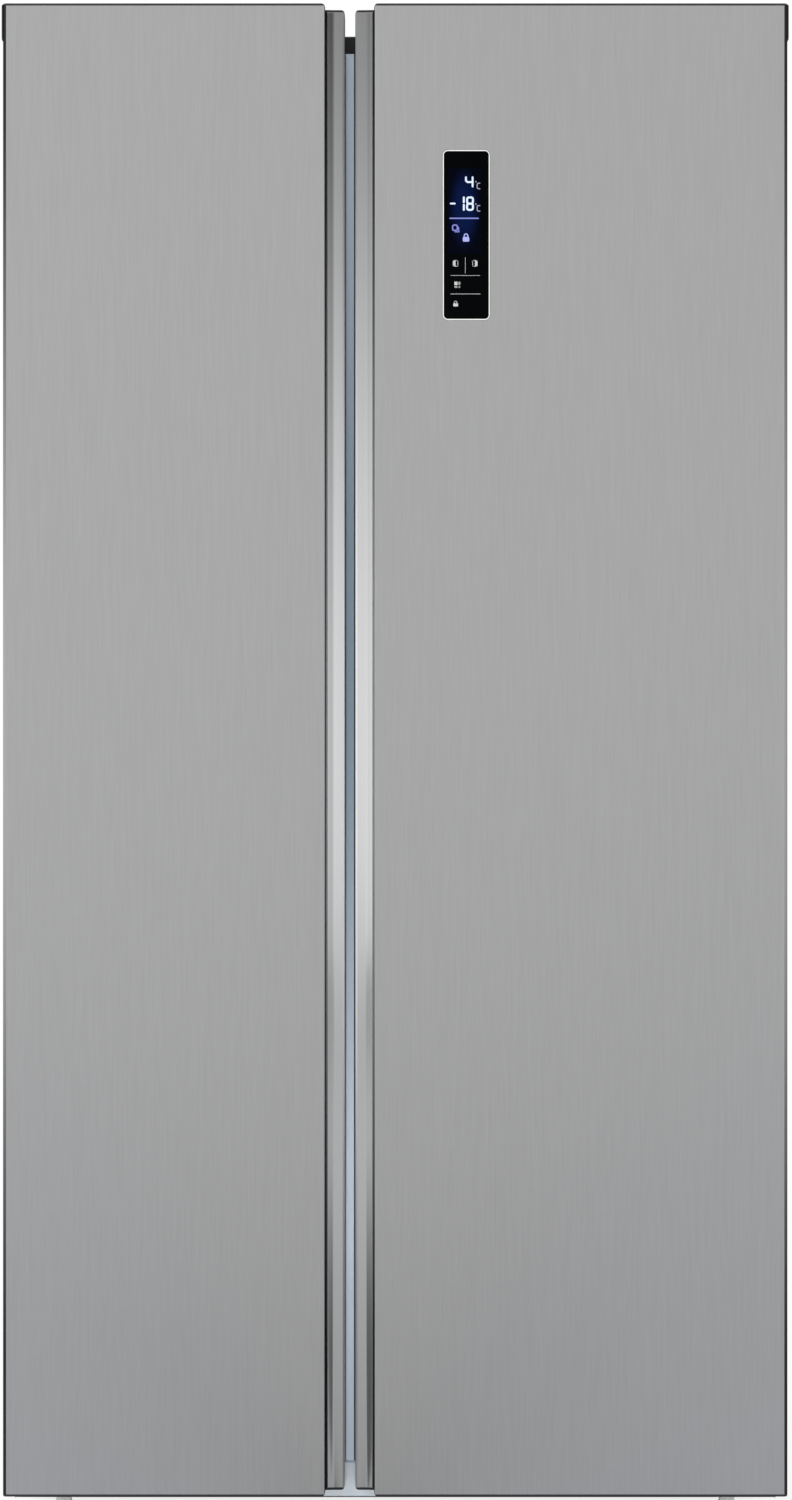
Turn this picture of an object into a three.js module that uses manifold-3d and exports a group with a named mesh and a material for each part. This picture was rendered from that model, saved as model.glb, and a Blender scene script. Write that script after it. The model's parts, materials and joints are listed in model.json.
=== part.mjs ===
// A free-standing side by side refrigerator: a narrow freezer door on the left and a wide fridge door on
// the right, each opened by a finger groove that runs the full height of its inner edge.
// Millimetres. +X is to the right as seen from the front, +Y is to the back, +Z is up.
// The origin is on the floor, below the middle of the whole refrigerator.
import * as THREE from "three";
import { mergeVertices } from "three/addons/utils/BufferGeometryUtils.js";
import Module from "manifold-3d";

const wasm = await Module();
wasm.setup();

// ---------------------------------------------------------------- driving dimensions
const GAP = 0.3; // left between pieces that touch

const DEPTH = 706; // door faces to the wall side of the machine cover
const FRONT = -DEPTH / 2; // plane of the two door faces
const BACK = DEPTH / 2;

const DOOR_SPAN = 895; // both doors and the gap between them
const DOOR_BOTTOM = 48;
const DOOR_TOP = 1750;
const DOOR_THICK = 60;
const DOOR_GAP = 12;
const DOOR_GAP_CENTRE = -52; // the gap stands left of the middle
const GRIP_WIDTH = 22; // the stepped-back strip beside each door face
const GRIP_DEPTH = 30;
const DOOR_SHEET = 1.2;
const GRIP_SHEET = 1.8;
const CAP_PLATE = 2; // thickness of the moulded door end caps
const SKIRT = 1.2; // how far the skirt of the top cap stands out beside the door
const DOOR_CORNER = 4; // corners of the face and of the strip, seen from the front

const CABINET_WIDTH = 886;
const CABINET_FRONT = FRONT + 72;
const CABINET_BACK = 330;
const CABINET_BOTTOM = 28;
const CABINET_TOP = 1728;
const STEEL = 1.5;
const WRAP_BEND = 8;

const WALL = 48; // insulated side wall, liner included
const MULLION = 66; // insulated wall between the two compartments
const CAVITY_FLOOR = 100;
const CAVITY_TOP = 1670;
const CAVITY_BACK = 275;
const LINER = 2.5;
const FLANGE_INSIDE = 4; // the liner shows this much inside the steel front frame

const MACHINE_FRONT = 110; // the machine compartment, behind and below the step in the liners
const MACHINE_TOP = 285;
const STEP_WALL = 50;

const PANEL = { centre: 366.5, width: 50, bottom: 1391, top: 1581, corner: 4 }; // glass in the fridge door
const BEZEL = 1.9; // pale frame round its glass

const PIN_IN = 22; // hinge axis from the outer edge of the door
const PIN_BACK = 37; // and behind its face
const PIN_RADIUS = 5;
const PIN_HOLE = 5.6;

const TRIM_HEIGHT = 18; // black strip along the top of the cabinet front
const RAIL_BOTTOM = DOOR_BOTTOM + 22; // seam between the front frame and the base panel

const half = CABINET_WIDTH / 2;
const mullionLeft = DOOR_GAP_CENTRE - MULLION / 2;
const mullionRight = DOOR_GAP_CENTRE + MULLION / 2;

// ---------------------------------------------------------------- materials
const paint = (color, roughness, metalness, opacity = 1) =>
  new THREE.MeshStandardMaterial({ color, roughness, metalness, opacity, transparent: opacity < 1 });

const brushedSteel = paint(0xb4b5b6, 0.38, 0.9);
const gripMetal = paint(0xc2c3c4, 0.25, 0.9);
const cabinetPaint = paint(0xb3bcc4, 0.45, 0.3);
const zincSteel = paint(0x9aa0a4, 0.45, 0.8);
const blackPlastic = paint(0x2a2b2b, 0.5, 0);
const capPlastic = paint(0x4b4d4f, 0.5, 0);
const whitePlastic = paint(0xeef1f3, 0.3, 0);
const clearPlastic = paint(0xdfeaf0, 0.15, 0, 0.45);
const shelfGlass = paint(0xe2f0ee, 0.05, 0, 0.35);
const panelGlass = paint(0x07080a, 0.08, 0);
const gasketRubber = paint(0x5d6164, 0.7, 0);
const foam = paint(0xe8dfb8, 0.9, 0);
const blackEnamel = paint(0x1b1c1d, 0.4, 0.2);
const coilAluminium = paint(0xc9cccd, 0.35, 0.8);

// ---------------------------------------------------------------- solids and outlines

// A closed three.js geometry as a solid that can be joined and cut.
function solid(geometry) {
  const loose = geometry.index ? geometry.toNonIndexed() : geometry;
  const bare = new THREE.BufferGeometry().setAttribute("position", loose.getAttribute("position"));
  const merged = mergeVertices(bare, 1e-3);
  return new wasm.Manifold(
    new wasm.Mesh({
      numProp: 3,
      vertProperties: merged.attributes.position.array,
      triVerts: new Uint32Array(merged.index.array),
    }),
  );
}

const join = (...solids) => solids.reduce((all, next) => all.add(next));
const cut = (body, ...tools) => tools.reduce((left, tool) => left.subtract(tool), body);

function geometryOf(body) {
  const { numProp, numVert, vertProperties, triVerts } = body.getMesh();
  const position = new Float32Array(numVert * 3);
  for (let i = 0; i < numVert; i++) {
    const from = i * numProp;
    position.set(vertProperties.subarray(from, from + 3), i * 3);
  }
  const geometry = new THREE.BufferGeometry();
  geometry.setAttribute("position", new THREE.BufferAttribute(position, 3));
  geometry.setIndex(new THREE.BufferAttribute(triVerts, 1));
  geometry.computeVertexNormals();
  return geometry;
}

function piece(name, body, material) {
  const mesh = new THREE.Mesh(geometryOf(body), material);
  mesh.name = name;
  return mesh;
}

function block([x0, x1], [y0, y1], [z0, z1]) {
  const box = new THREE.BoxGeometry(x1 - x0, y1 - y0, z1 - z0);
  return solid(box.translate((x0 + x1) / 2, (y0 + y1) / 2, (z0 + z1) / 2));
}

// The points of a path whose corners are [a, b] or [a, b, radius]: a radius rounds that corner with an arc.
// Without a given number of steps, a large arc gets more of them than a small one.
function roundedPath(corners, closed, arcSteps) {
  const at = (i) => new THREE.Vector2(...corners[(i + corners.length) % corners.length].slice(0, 2));
  return corners.flatMap(([, , radius = 0], i) => {
    const corner = at(i);
    const end = !closed && (i === 0 || i === corners.length - 1);
    if (!radius || end) return [corner];
    const back = at(i - 1).sub(corner).normalize();
    const on = at(i + 1).sub(corner).normalize();
    const halfAngle = Math.acos(THREE.MathUtils.clamp(back.dot(on), -1, 1)) / 2;
    const inward = back.clone().add(on).normalize();
    const centre = inward.multiplyScalar(radius / Math.sin(halfAngle)).add(corner);
    const reach = radius / Math.tan(halfAngle);
    const from = back.clone().multiplyScalar(reach).add(corner).sub(centre);
    const to = on.clone().multiplyScalar(reach).add(corner).sub(centre);
    const sweep = Math.atan2(from.cross(to), from.dot(to));
    const steps = arcSteps ?? (radius > 10 ? 3 : 2);
    return Array.from({ length: steps + 1 }, (_, k) =>
      from.clone().rotateAround(new THREE.Vector2(), (sweep * k) / steps).add(centre),
    );
  });
}

const outline = (corners, steps) => new THREE.Shape(roundedPath(corners, true, steps));

const rectangle = (x0, x1, y0, y1, r = 0, steps) =>
  outline([[x0, y0, r], [x1, y0, r], [x1, y1, r], [x0, y1, r]], steps);

const disc = (x, y, radius, sides = 16) =>
  new THREE.Shape(
    Array.from({ length: sides }, (_, i) => {
      const angle = (2 * Math.PI * i) / sides - Math.PI / 2;
      return new THREE.Vector2(x + radius * Math.cos(angle), y + radius * Math.sin(angle));
    }),
  );

// The section of a sheet bent along a path. It lies to the left of the path, or right if it is negative.
function sheet(corners, thickness, steps) {
  const path = roundedPath(corners, false, steps);
  const offset = path.map((point, i) => {
    const before = i > 0 ? point.clone().sub(path[i - 1]).normalize() : null;
    const after = i < path.length - 1 ? path[i + 1].clone().sub(point).normalize() : null;
    const a = before ?? after;
    const b = after ?? before;
    const normal = new THREE.Vector2(-a.y - b.y, a.x + b.x).normalize();
    const mitre = 1 / normal.dot(new THREE.Vector2(-a.y, a.x));
    return normal.multiplyScalar(thickness * mitre).add(point);
  });
  return new THREE.Shape([...path, ...offset.reverse()]);
}

const flatEnds = { bevelEnabled: false };
const roundEnds = (radius, steps) => ({
  bevelEnabled: true,
  bevelSize: radius,
  bevelThickness: radius,
  bevelOffset: -radius,
  bevelSegments: steps,
});

// An outline run out between two planes, its two end faces either flat or rounded over at their edges.
function run(shape, low, high, ends, basis) {
  const inset = ends.bevelEnabled ? ends.bevelThickness : 0;
  const geometry = new THREE.ExtrudeGeometry(shape, { depth: high - low - 2 * inset, ...ends });
  return solid(geometry.translate(0, 0, low + inset).applyMatrix4(basis));
}

const X = new THREE.Vector3(1, 0, 0);
const Y = new THREE.Vector3(0, 1, 0);
const Z = new THREE.Vector3(0, 0, 1);
const planBasis = new THREE.Matrix4();
const sideBasis = new THREE.Matrix4().makeBasis(Y, Z, X);
const faceBasis = new THREE.Matrix4().makeBasis(X, Z, Y.clone().negate());

// Outlines drawn in plan (x, y), from the side (y, z) and from the front (x, z).
const plan = (shape, [z0, z1], ends = flatEnds) => run(shape, z0, z1, ends, planBasis);
const side = (shape, [x0, x1], ends = flatEnds) => run(shape, x0, x1, ends, sideBasis);
const face = (shape, [y0, y1], ends = flatEnds) => run(shape, -y1, -y0, ends, faceBasis);

// A turned piece: the profile holds [radius, height] pairs and starts and ends on the axis.
function turned(profile, sides) {
  const points = profile.map(([radius, height]) => new THREE.Vector2(radius, height));
  return new THREE.LatheGeometry(points, sides).rotateX(Math.PI / 2);
}

function group(...children) {
  const made = new THREE.Group();
  made.add(...children.flat());
  return made;
}

// Puts in place pieces that are drawn at the left door: x from its outer edge, y from its face.
function atDoorSide(pieces, isRight) {
  const placed = group(pieces);
  placed.position.set(isRight ? DOOR_SPAN / 2 : -DOOR_SPAN / 2, FRONT, 0);
  placed.scale.x = isRight ? -1 : 1;
  return placed;
}

// ---------------------------------------------------------------- the two compartments
const compartments = [
  {
    name: "freezer",
    left: -half + WALL,
    right: mullionLeft,
    shelves: [800, 1080, 1360],
    rear: 195, // front face of the air duct cover
  },
  {
    name: "fridge",
    left: mullionRight,
    right: half - WALL,
    shelves: [528, 800, 1080, 1360],
    rear: 243,
  },
];
const SHELF_FRONT = -190;
const SHELF_GLASS = 4;
const SHELF_RAIL = 8; // how far the moulded rails stand out of the liner

const DRAWER_FRONT = -178;
const DRAWER_RIM = 9;
const DRAWER_PULL = 12;
const drawerRows = [
  { name: "lower", floor: 104, rim: 322, back: 46 },
  { name: "upper", floor: 342, rim: 512, back: 180 },
];

// The hollow of a liner seen from the side, grown outwards by a wall. It steps over the machine room.
function cavitySection(grow, corner, bend) {
  const front = CABINET_FRONT - 40; // cut off later at the front plane, so that the opening stays square
  const low = CAVITY_FLOOR - grow;
  const stepBack = MACHINE_FRONT - STEP_WALL + grow;
  const stepTop = MACHINE_TOP + STEP_WALL - grow;
  const back = CAVITY_BACK + grow;
  const high = CAVITY_TOP + grow;
  const corners = [
    [front, low],
    [stepBack, low, corner],
    [stepBack, stepTop - 45, bend],
    [stepBack + 45, stepTop, bend],
    [back, stepTop, corner],
    [back, high, corner],
    [front, high],
  ];
  return outline(corners, 2);
}

const cavity = ({ left, right }, grow) =>
  side(cavitySection(grow, 20 + grow, 30), [left - grow, right + grow], roundEnds(14 + grow, 2));

const foamHollow = ({ left, right }) =>
  side(cavitySection(LINER + GAP, 0, 30), [left - LINER - GAP, right + LINER + GAP]);

const inFrontOfCabinet = block([-500, 500], [FRONT - 200, CABINET_FRONT + STEEL + GAP], [0, 2000]);

function liner(room) {
  const { name, left, right, shelves, rear } = room;
  const lip = 20;
  const onMullion = (x) => (x === mullionLeft || x === mullionRight ? FLANGE_INSIDE - GAP : lip);
  const flange = face(
    rectangle(left - onMullion(left), right + onMullion(right), CAVITY_FLOOR - lip, CAVITY_TOP + lip),
    [CABINET_FRONT + STEEL + GAP, CABINET_FRONT + STEEL + GAP + LINER],
  );
  const shell = cut(join(cavity(room, LINER), flange), cavity(room, 0));

  const rail = (top, drop, reach, [y0, y1]) => {
    const section = rectangle(y0, y1, top - drop, top);
    return [side(section, [left - 1, left + reach]), side(section, [right - reach, right + 1])];
  };
  const shelfRails = shelves.flatMap((z) => rail(z - GAP, 10, SHELF_RAIL, [SHELF_FRONT + 14, rear - 16]));
  const drawerRails = drawerRows.flatMap((row) =>
    rail(row.rim - 3 - GAP, 10, DRAWER_RIM + 1, [DRAWER_FRONT + 12, row.back - 6]),
  );
  return piece(
    `${name}_liner`,
    cut(join(shell, ...shelfRails, ...drawerRails), inFrontOfCabinet),
    whitePlastic,
  );
}

// A toughened glass plate held in a moulded front bumper and a moulded back stop.
function shelf({ name, left, right, rear }, z, label) {
  const across = [left + 2, right - 2];
  const plate = block(across, [SHELF_FRONT, rear - 6], [z, z + SHELF_GLASS]);
  const bumper = side(rectangle(SHELF_FRONT - 5, SHELF_FRONT + 10, z - 7, z + 8, 5, 2), across);
  const stop = side(rectangle(rear - 14, rear - 4, z - 4, z + 14, 3, 1), across);
  return piece(`${name}_${label}`, join(plate, bumper, stop), shelfGlass);
}

function drawer({ name, left, right, rear }, { name: row, floor, rim, back }) {
  const wall = 2.5;
  const end = Math.min(back, rear - 12);
  const [x0, x1] = [left + DRAWER_RIM + 4, right - DRAWER_RIM - 4];
  const tub = plan(rectangle(x0, x1, DRAWER_FRONT, end, 9, 2), [floor, rim]);
  const hollow = plan(
    rectangle(x0 + wall, x1 - wall, DRAWER_FRONT + wall + 1, end - wall, 6.5, 2),
    [floor + wall, rim + 1],
  );
  const runners = plan(
    rectangle(x0 - DRAWER_RIM, x1 + DRAWER_RIM, DRAWER_FRONT + 14, end - 8),
    [rim - 3, rim],
  );
  const hook = sheet(
    [
      [DRAWER_FRONT + 1, rim - 52],
      [DRAWER_FRONT - DRAWER_PULL, rim - 34, 10],
      [DRAWER_FRONT - DRAWER_PULL, rim - 1.5, 5],
      [DRAWER_FRONT + 3, rim - 1.5],
    ],
    -wall,
  );
  const pull = side(hook, [x0 + 14, x1 - 14]);
  return piece(`${name}_drawer_${row}`, cut(join(tub, runners, pull), hollow), clearPlastic);
}

// The cover over the evaporator or the cold air duct: a shallow box against the back wall with air slots.
function ductCover(room) {
  const { name, left, right, rear } = room;
  const bottom = MACHINE_TOP + STEP_WALL + 6;
  const top = CAVITY_TOP - 6;
  const wall = 2.5;
  const [x0, x1] = [left + 3, right - 3];
  const centre = (x0 + x1) / 2;
  const panel = face(rectangle(x0, x1, bottom, top, 12, 2), [rear, CAVITY_BACK]);
  const hollow = face(
    rectangle(x0 + wall, x1 - wall, bottom + wall, top - wall, 12 - wall, 2),
    [rear + wall, CAVITY_BACK + 1],
  );
  const rib = face(rectangle(centre - 80, centre + 80, bottom + 60, top - 60, 20, 2), [rear - 3, rear + 1]);
  const slot = (z) => block([centre - 62, centre + 62], [rear - 5, rear + 5], [z - 3.5, z + 3.5]);
  const slots = [930, 1210, 1490].flatMap((z) => [slot(z - 13), slot(z), slot(z + 13)]);
  const motor = name === "freezer" ? evaporatorFanMotor(centre, rear) : [];
  const body = cut(join(panel, rib), hollow, ...slots).intersect(cavity(room, -GAP));
  return piece(`${name}_duct_cover`, join(body, ...motor), whitePlastic);
}

const EVAPORATOR_FAN_Z = 775;

// The motor stands on the inside of the cover and its shaft carries the fan.
function evaporatorFanMotor(x, rear) {
  return [
    face(disc(x, EVAPORATOR_FAN_Z, 17, 16), [rear + 2, rear + 22]),
    face(disc(x, EVAPORATOR_FAN_Z, 3, 8), [rear + 20, rear + 54]),
  ];
}

// ---------------------------------------------------------------- the steel cabinet
function cabinetShell() {
  const bent = [
    [-half, CABINET_BOTTOM],
    [-half, CABINET_TOP, WRAP_BEND],
    [half, CABINET_TOP, WRAP_BEND],
    [half, CABINET_BOTTOM],
  ];
  const wrap = face(sheet(bent, -STEEL, 3), [CABINET_FRONT, CABINET_BACK]);
  const ring = rectangle(-half, half, RAIL_BOTTOM, CABINET_TOP - TRIM_HEIGHT);
  ring.holes.push(
    rectangle(
      -half + WALL - FLANGE_INSIDE,
      half - WALL + FLANGE_INSIDE,
      CAVITY_FLOOR - FLANGE_INSIDE,
      CAVITY_TOP + FLANGE_INSIDE,
      10,
    ),
  );
  const flange = face(ring, [CABINET_FRONT, CABINET_FRONT + STEEL]);
  const stripNotch = block(
    [mullionLeft + FLANGE_INSIDE - GAP, mullionRight - FLANGE_INSIDE + GAP],
    [CABINET_FRONT - 1, CABINET_FRONT + 10],
    [RAIL_BOTTOM - 1, CABINET_TOP - TRIM_HEIGHT + 1],
  );
  const trimNotch = block(
    [-half + STEEL, half - STEEL],
    [CABINET_FRONT - 1, CABINET_FRONT + 2 + GAP],
    [CABINET_TOP - TRIM_HEIGHT, CABINET_TOP + 1],
  );
  return piece("cabinet_shell", cut(join(wrap, flange), stripNotch, trimNotch), cabinetPaint);
}

function mullionStrip() {
  const [x0, x1] = [mullionLeft + FLANGE_INSIDE, mullionRight - FLANGE_INSIDE];
  const legs = CABINET_FRONT + 13;
  const channel = sheet([[x0, legs], [x0, CABINET_FRONT, 2], [x1, CABINET_FRONT, 2], [x1, legs]], STEEL, 3);
  const body = plan(channel, [RAIL_BOTTOM + GAP, CABINET_TOP - TRIM_HEIGHT - GAP]);
  return piece("mullion_strip", body, cabinetPaint);
}

function topTrim() {
  const lip = 79; // the hinge plates cross the strip this far in from each side
  const bottom = CABINET_TOP - TRIM_HEIGHT + GAP;
  const over = CABINET_TOP + 2.6; // top of the part that lies on the cabinet
  const wall = 2;
  const strip = side(
    rectangle(CABINET_FRONT, CABINET_FRONT + wall, bottom, CABINET_TOP - GAP),
    [-half + STEEL + GAP, half - STEEL - GAP],
  );
  const cover = side(
    sheet([[CABINET_FRONT + 44, over], [CABINET_FRONT, over, 3], [CABINET_FRONT, bottom]], wall, 3),
    [-half + lip, half - lip],
  );
  return piece("top_trim", join(strip, cover), blackPlastic);
}

function basePanel() {
  const end = half - 45; // the lower hinge brackets stand outside it
  const seat = CABINET_FRONT - GAP;
  const proud = CABINET_FRONT - 5;
  const [low, high] = [CABINET_BOTTOM + 2, RAIL_BOTTOM + 1.4]; // the top lip hides the joint with the rail
  const section = sheet([[seat, high], [proud, high, 3], [proud, low, 4], [seat, low]], 2);
  return piece("base_panel", side(section, [-end, end]), cabinetPaint);
}

// The outline of what fills the steel wrap from side to side, seen from the front.
const insideWrap = (bottom) => {
  const edge = half - STEEL - GAP;
  const top = CABINET_TOP - STEEL - GAP;
  const r = WRAP_BEND - STEEL - GAP;
  return outline([[-edge, bottom], [edge, bottom], [edge, top, r], [-edge, top, r]], 3);
};

function backPanel() {
  const plate = face(insideWrap(MACHINE_TOP + GAP), [CABINET_BACK - STEEL, CABINET_BACK]);
  const bead = 4;
  const beads = [-330, -110, 110, 330].map((x) =>
    face(rectangle(x - 22, x + 22, 420, 1600, 16, 2), [CABINET_BACK - 1, CABINET_BACK + bead]),
  );
  return piece("back_panel", join(plate, ...beads), zincSteel);
}

const FOOT_X = 392;
const FOOT_Y = -228;
const ROLLER_X = 385;
const ROLLER_Y = 285;
const ROLLER_RADIUS = 19;
const CONDENSER_FAN = { x: 20, y: 222, z: 150 };

// Floor plate, the folded step in front of the machine compartment, roller forks and the fan motor bracket.
function basePan() {
  const inside = half - STEEL - GAP;
  const width = [-inside, inside];
  const floorBends = [
    [CABINET_FRONT, RAIL_BOTTOM - 2],
    [CABINET_FRONT, CABINET_BOTTOM, 3],
    [CABINET_BACK - 4, CABINET_BOTTOM],
  ];
  const stepBends = [
    [MACHINE_FRONT, CABINET_BOTTOM + 1],
    [MACHINE_FRONT, MACHINE_TOP - 45, 24],
    [MACHINE_FRONT + 45, MACHINE_TOP, 24],
    [CABINET_BACK - 0.5, MACHINE_TOP],
  ];
  const floor = side(sheet(floorBends, STEEL, 2), width);
  const step = side(sheet(stepBends, -STEEL, 2), width);
  const cheek = outline([
    [ROLLER_Y - 26, CABINET_BOTTOM + 1],
    [ROLLER_Y - 10, 9, 8],
    [ROLLER_Y + 10, 9, 8],
    [ROLLER_Y + 26, CABINET_BOTTOM + 1],
  ]);
  const forks = [-ROLLER_X, ROLLER_X].flatMap((x) => [
    side(cheek, [x - 13, x - 11]),
    side(cheek, [x + 11, x + 13]),
    side(disc(ROLLER_Y, ROLLER_RADIUS, 4, 10), [x - 12.5, x + 12.5]),
  ]);
  const throughFloor = [CABINET_BOTTOM - 1, CABINET_BOTTOM + 4];
  const wheelSlots = [-ROLLER_X, ROLLER_X].map((x) =>
    block([x - 10.5, x + 10.5], [ROLLER_Y - 21, ROLLER_Y + 21], throughFloor),
  );
  const footHoles = [-FOOT_X, FOOT_X].map((x) => plan(disc(x, FOOT_Y, 7, 12), throughFloor));
  const { x, y, z } = CONDENSER_FAN;
  const post = block([x + 22, x + 24], [y - 14, y + 14], [CABINET_BOTTOM + 1, z + 10]);
  const motor = side(disc(y, z, 20, 12), [x + 22, x + 50]);
  const shaft = side(disc(y, z, 3, 8), [x - 4, x + 30]);
  const deck = cut(join(floor, step), ...wheelSlots, ...footHoles);
  return piece("base_pan", join(deck, ...forks, post, motor, shaft), zincSteel);
}

// Rigid foam between the steel cabinet and the liners, cut clear of everything that is set into it.
function insulation() {
  const front = CABINET_FRONT + STEEL + GAP;
  const back = CABINET_BACK - STEEL - GAP;
  const mass = face(insideWrap(CABINET_BOTTOM + STEEL + GAP), [front, back]);
  const toe = block([-500, 500], [front - 10, front + 3], [0, RAIL_BOTTOM + 1]);
  const trimBand = [CABINET_TOP - TRIM_HEIGHT - 1, CABINET_TOP];
  const underTrim = block([-500, 500], [front - 10, CABINET_FRONT + 3], trimBand);
  const strip = block(
    [mullionLeft + FLANGE_INSIDE - GAP, mullionRight - FLANGE_INSIDE + GAP],
    [front - 10, CABINET_FRONT + 14],
    [0, CABINET_TOP - TRIM_HEIGHT],
  );
  const machine = side(
    outline([
      [MACHINE_FRONT - STEEL - GAP, 0],
      [MACHINE_FRONT - STEEL - GAP, MACHINE_TOP - 44, 22],
      [MACHINE_FRONT + 44, MACHINE_TOP + STEEL + GAP, 22],
      [CABINET_BACK + 50, MACHINE_TOP + STEEL + GAP],
      [CABINET_BACK + 50, 0],
    ]),
    [-500, 500],
  );
  const rooms = compartments.map(foamHollow);
  const lip = 20 + GAP;
  const lipHeight = [CAVITY_FLOOR - lip, CAVITY_TOP + lip];
  const lips = compartments.map(({ left, right }) =>
    block([left - lip, right + lip], [front - 10, front + LINER + GAP], lipHeight),
  );
  const studs = [-FOOT_X, FOOT_X].map((x) => plan(disc(x, FOOT_Y, 9, 8), [0, 62]));
  const body = cut(mass, toe, underTrim, strip, machine, ...rooms, ...lips, ...studs);
  return piece("cabinet_insulation", body, foam);
}

// A levelling foot: a wide pad, a hexagon for the spanner and a stud that screws up into the base.
function frontFoot(name, x) {
  const pad = turned([[0, 0], [20, 0], [22, 2], [22, 5], [12, 10], [0, 10]], 16);
  const spanner = plan(disc(0, 0, 10, 6), [9, 19]);
  const stud = plan(disc(0, 0, 5, 8), [18, 56]);
  const foot = piece(name, join(solid(pad), spanner, stud), blackPlastic);
  foot.position.set(x, FOOT_Y, 0);
  return foot;
}

function rearRoller(name, x) {
  const bore = 4.6;
  const tread = [[ROLLER_RADIUS, -5], [ROLLER_RADIUS, 5]];
  const profile = [[bore, -9], [14, -8], ...tread, [14, 8], [bore, 9], [bore, -9]];
  const wheel = turned(profile, 16).rotateY(Math.PI / 2);
  const roller = piece(name, solid(wheel), blackPlastic);
  roller.position.set(x, ROLLER_Y, ROLLER_RADIUS);
  return roller;
}

// ---------------------------------------------------------------- the cooling machine
const COMPRESSOR_AT = new THREE.Vector3(-235, 225, CABINET_BOTTOM + STEEL + GAP);

// A hermetic compressor: two pressed domes welded at a rim, on a foot plate with four rubber grommets.
function compressor() {
  const lower = [[0, 30], [56, 32], [82, 62], [82, 104]];
  const rim = [[87, 105], [87, 111]];
  const upper = [[82, 112], [80, 150], [62, 184], [0, 198]];
  const dome = turned([...lower, ...rim, ...upper], 16);
  const plate = plan(rectangle(-100, 100, -78, 78, 14), [16, 20]);
  const neck = plan(disc(0, 0, 45, 16), [19, 36]);
  const grommets = [-84, 84].flatMap((x) => [-62, 62].map((y) => plan(disc(x, y, 11, 8), [0, 17])));
  const terminal = block([78, 108], [-26, 26], [58, 118]);
  const pipes = [[-60, 30], [-66, -24], [-40, -52]].map(([x, y]) => plan(disc(x, y, 4, 6), [120, 205]));
  const machine = join(solid(dome), plate, neck, ...grommets, terminal, ...pipes);
  const body = piece("compressor", machine, blackEnamel);
  body.position.copy(COMPRESSOR_AT);
  return body;
}

// The condenser: one tube bent to and fro beside the fan and held in two upright plates.
function condenserCoil() {
  const rows = 4;
  const pitch = 50;
  const y = MACHINE_FRONT + 100;
  const floor = CABINET_BOTTOM + STEEL + GAP;
  const points = Array.from({ length: rows }, (_, row) => {
    const across = row % 2 ? [370, 250, 130] : [130, 250, 370];
    return across.map((x) => new THREE.Vector3(x, y, floor + 28 + row * pitch));
  }).flat();
  const path = new THREE.CatmullRomCurve3(points, false, "centripetal");
  const tube = new THREE.ExtrudeGeometry(disc(0, 0, 5, 6), { steps: 22, extrudePath: path });
  const plates = [170, 330].map((x) =>
    block([x, x + STEEL], [y - 16, y + 16], [floor, floor + rows * pitch + 6]),
  );
  return piece("condenser_coil", join(solid(tube), ...plates), blackEnamel);
}

// An axial fan rotor drawn about +Z: a hub with pitched blades.
function rotor(radius, blades, sweep) {
  const hub = turned([[3.6, -10], [20, -10], [20, 9], [17, 11], [3.6, 11], [3.6, -10]], 12);
  const vanes = Array.from({ length: blades }, (_, i) => {
    const blade = outline(
      [
        [15, -12],
        [radius - 10, -sweep, 8],
        [radius, -4, 8],
        [radius - 2, sweep - 6, 10],
        [15, 10],
      ],
      1,
    );
    const vane = new THREE.ExtrudeGeometry(blade, { depth: 2, ...flatEnds });
    vane.translate(0, 0, -1).rotateX(0.5);
    return solid(vane.rotateZ((2 * Math.PI * i) / blades));
  });
  return cut(join(solid(hub), ...vanes), plan(disc(0, 0, 3.6, 12), [-30, 30]));
}

function condenserFan() {
  const fan = piece("condenser_fan", rotor(68, 5, 26), blackPlastic);
  fan.rotation.y = Math.PI / 2;
  fan.position.set(CONDENSER_FAN.x + 6, CONDENSER_FAN.y, CONDENSER_FAN.z);
  return fan;
}

// The evaporator: a stack of fins on tubes that run across behind the freezer duct cover.
function evaporator({ left, right, rear }) {
  const [x0, x1] = [left + 26, right - 26];
  const fins = 4;
  const plates = Array.from({ length: fins }, (_, i) => {
    const x = x0 + 12 + ((x1 - x0 - 25) * i) / (fins - 1);
    return block([x, x + 1], [rear + 12, CAVITY_BACK - 6], [400, 640]);
  });
  const tubes = [460, 580].map((z) => side(disc((rear + CAVITY_BACK) / 2 + 2, z, 5, 6), [x0, x1]));
  const ends = [x0, x1 - 3].map((x) => block([x, x + 3], [rear + 20, CAVITY_BACK - GAP], [410, 630]));
  return piece("evaporator", join(...plates, ...tubes, ...ends), coilAluminium);
}

function evaporatorFan({ left, right, rear }) {
  const fan = piece("evaporator_fan", rotor(58, 4, 26), whitePlastic);
  fan.rotation.x = Math.PI / 2;
  fan.position.set((left + right) / 2, rear + 38, EVAPORATOR_FAN_Z);
  return fan;
}

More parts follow.
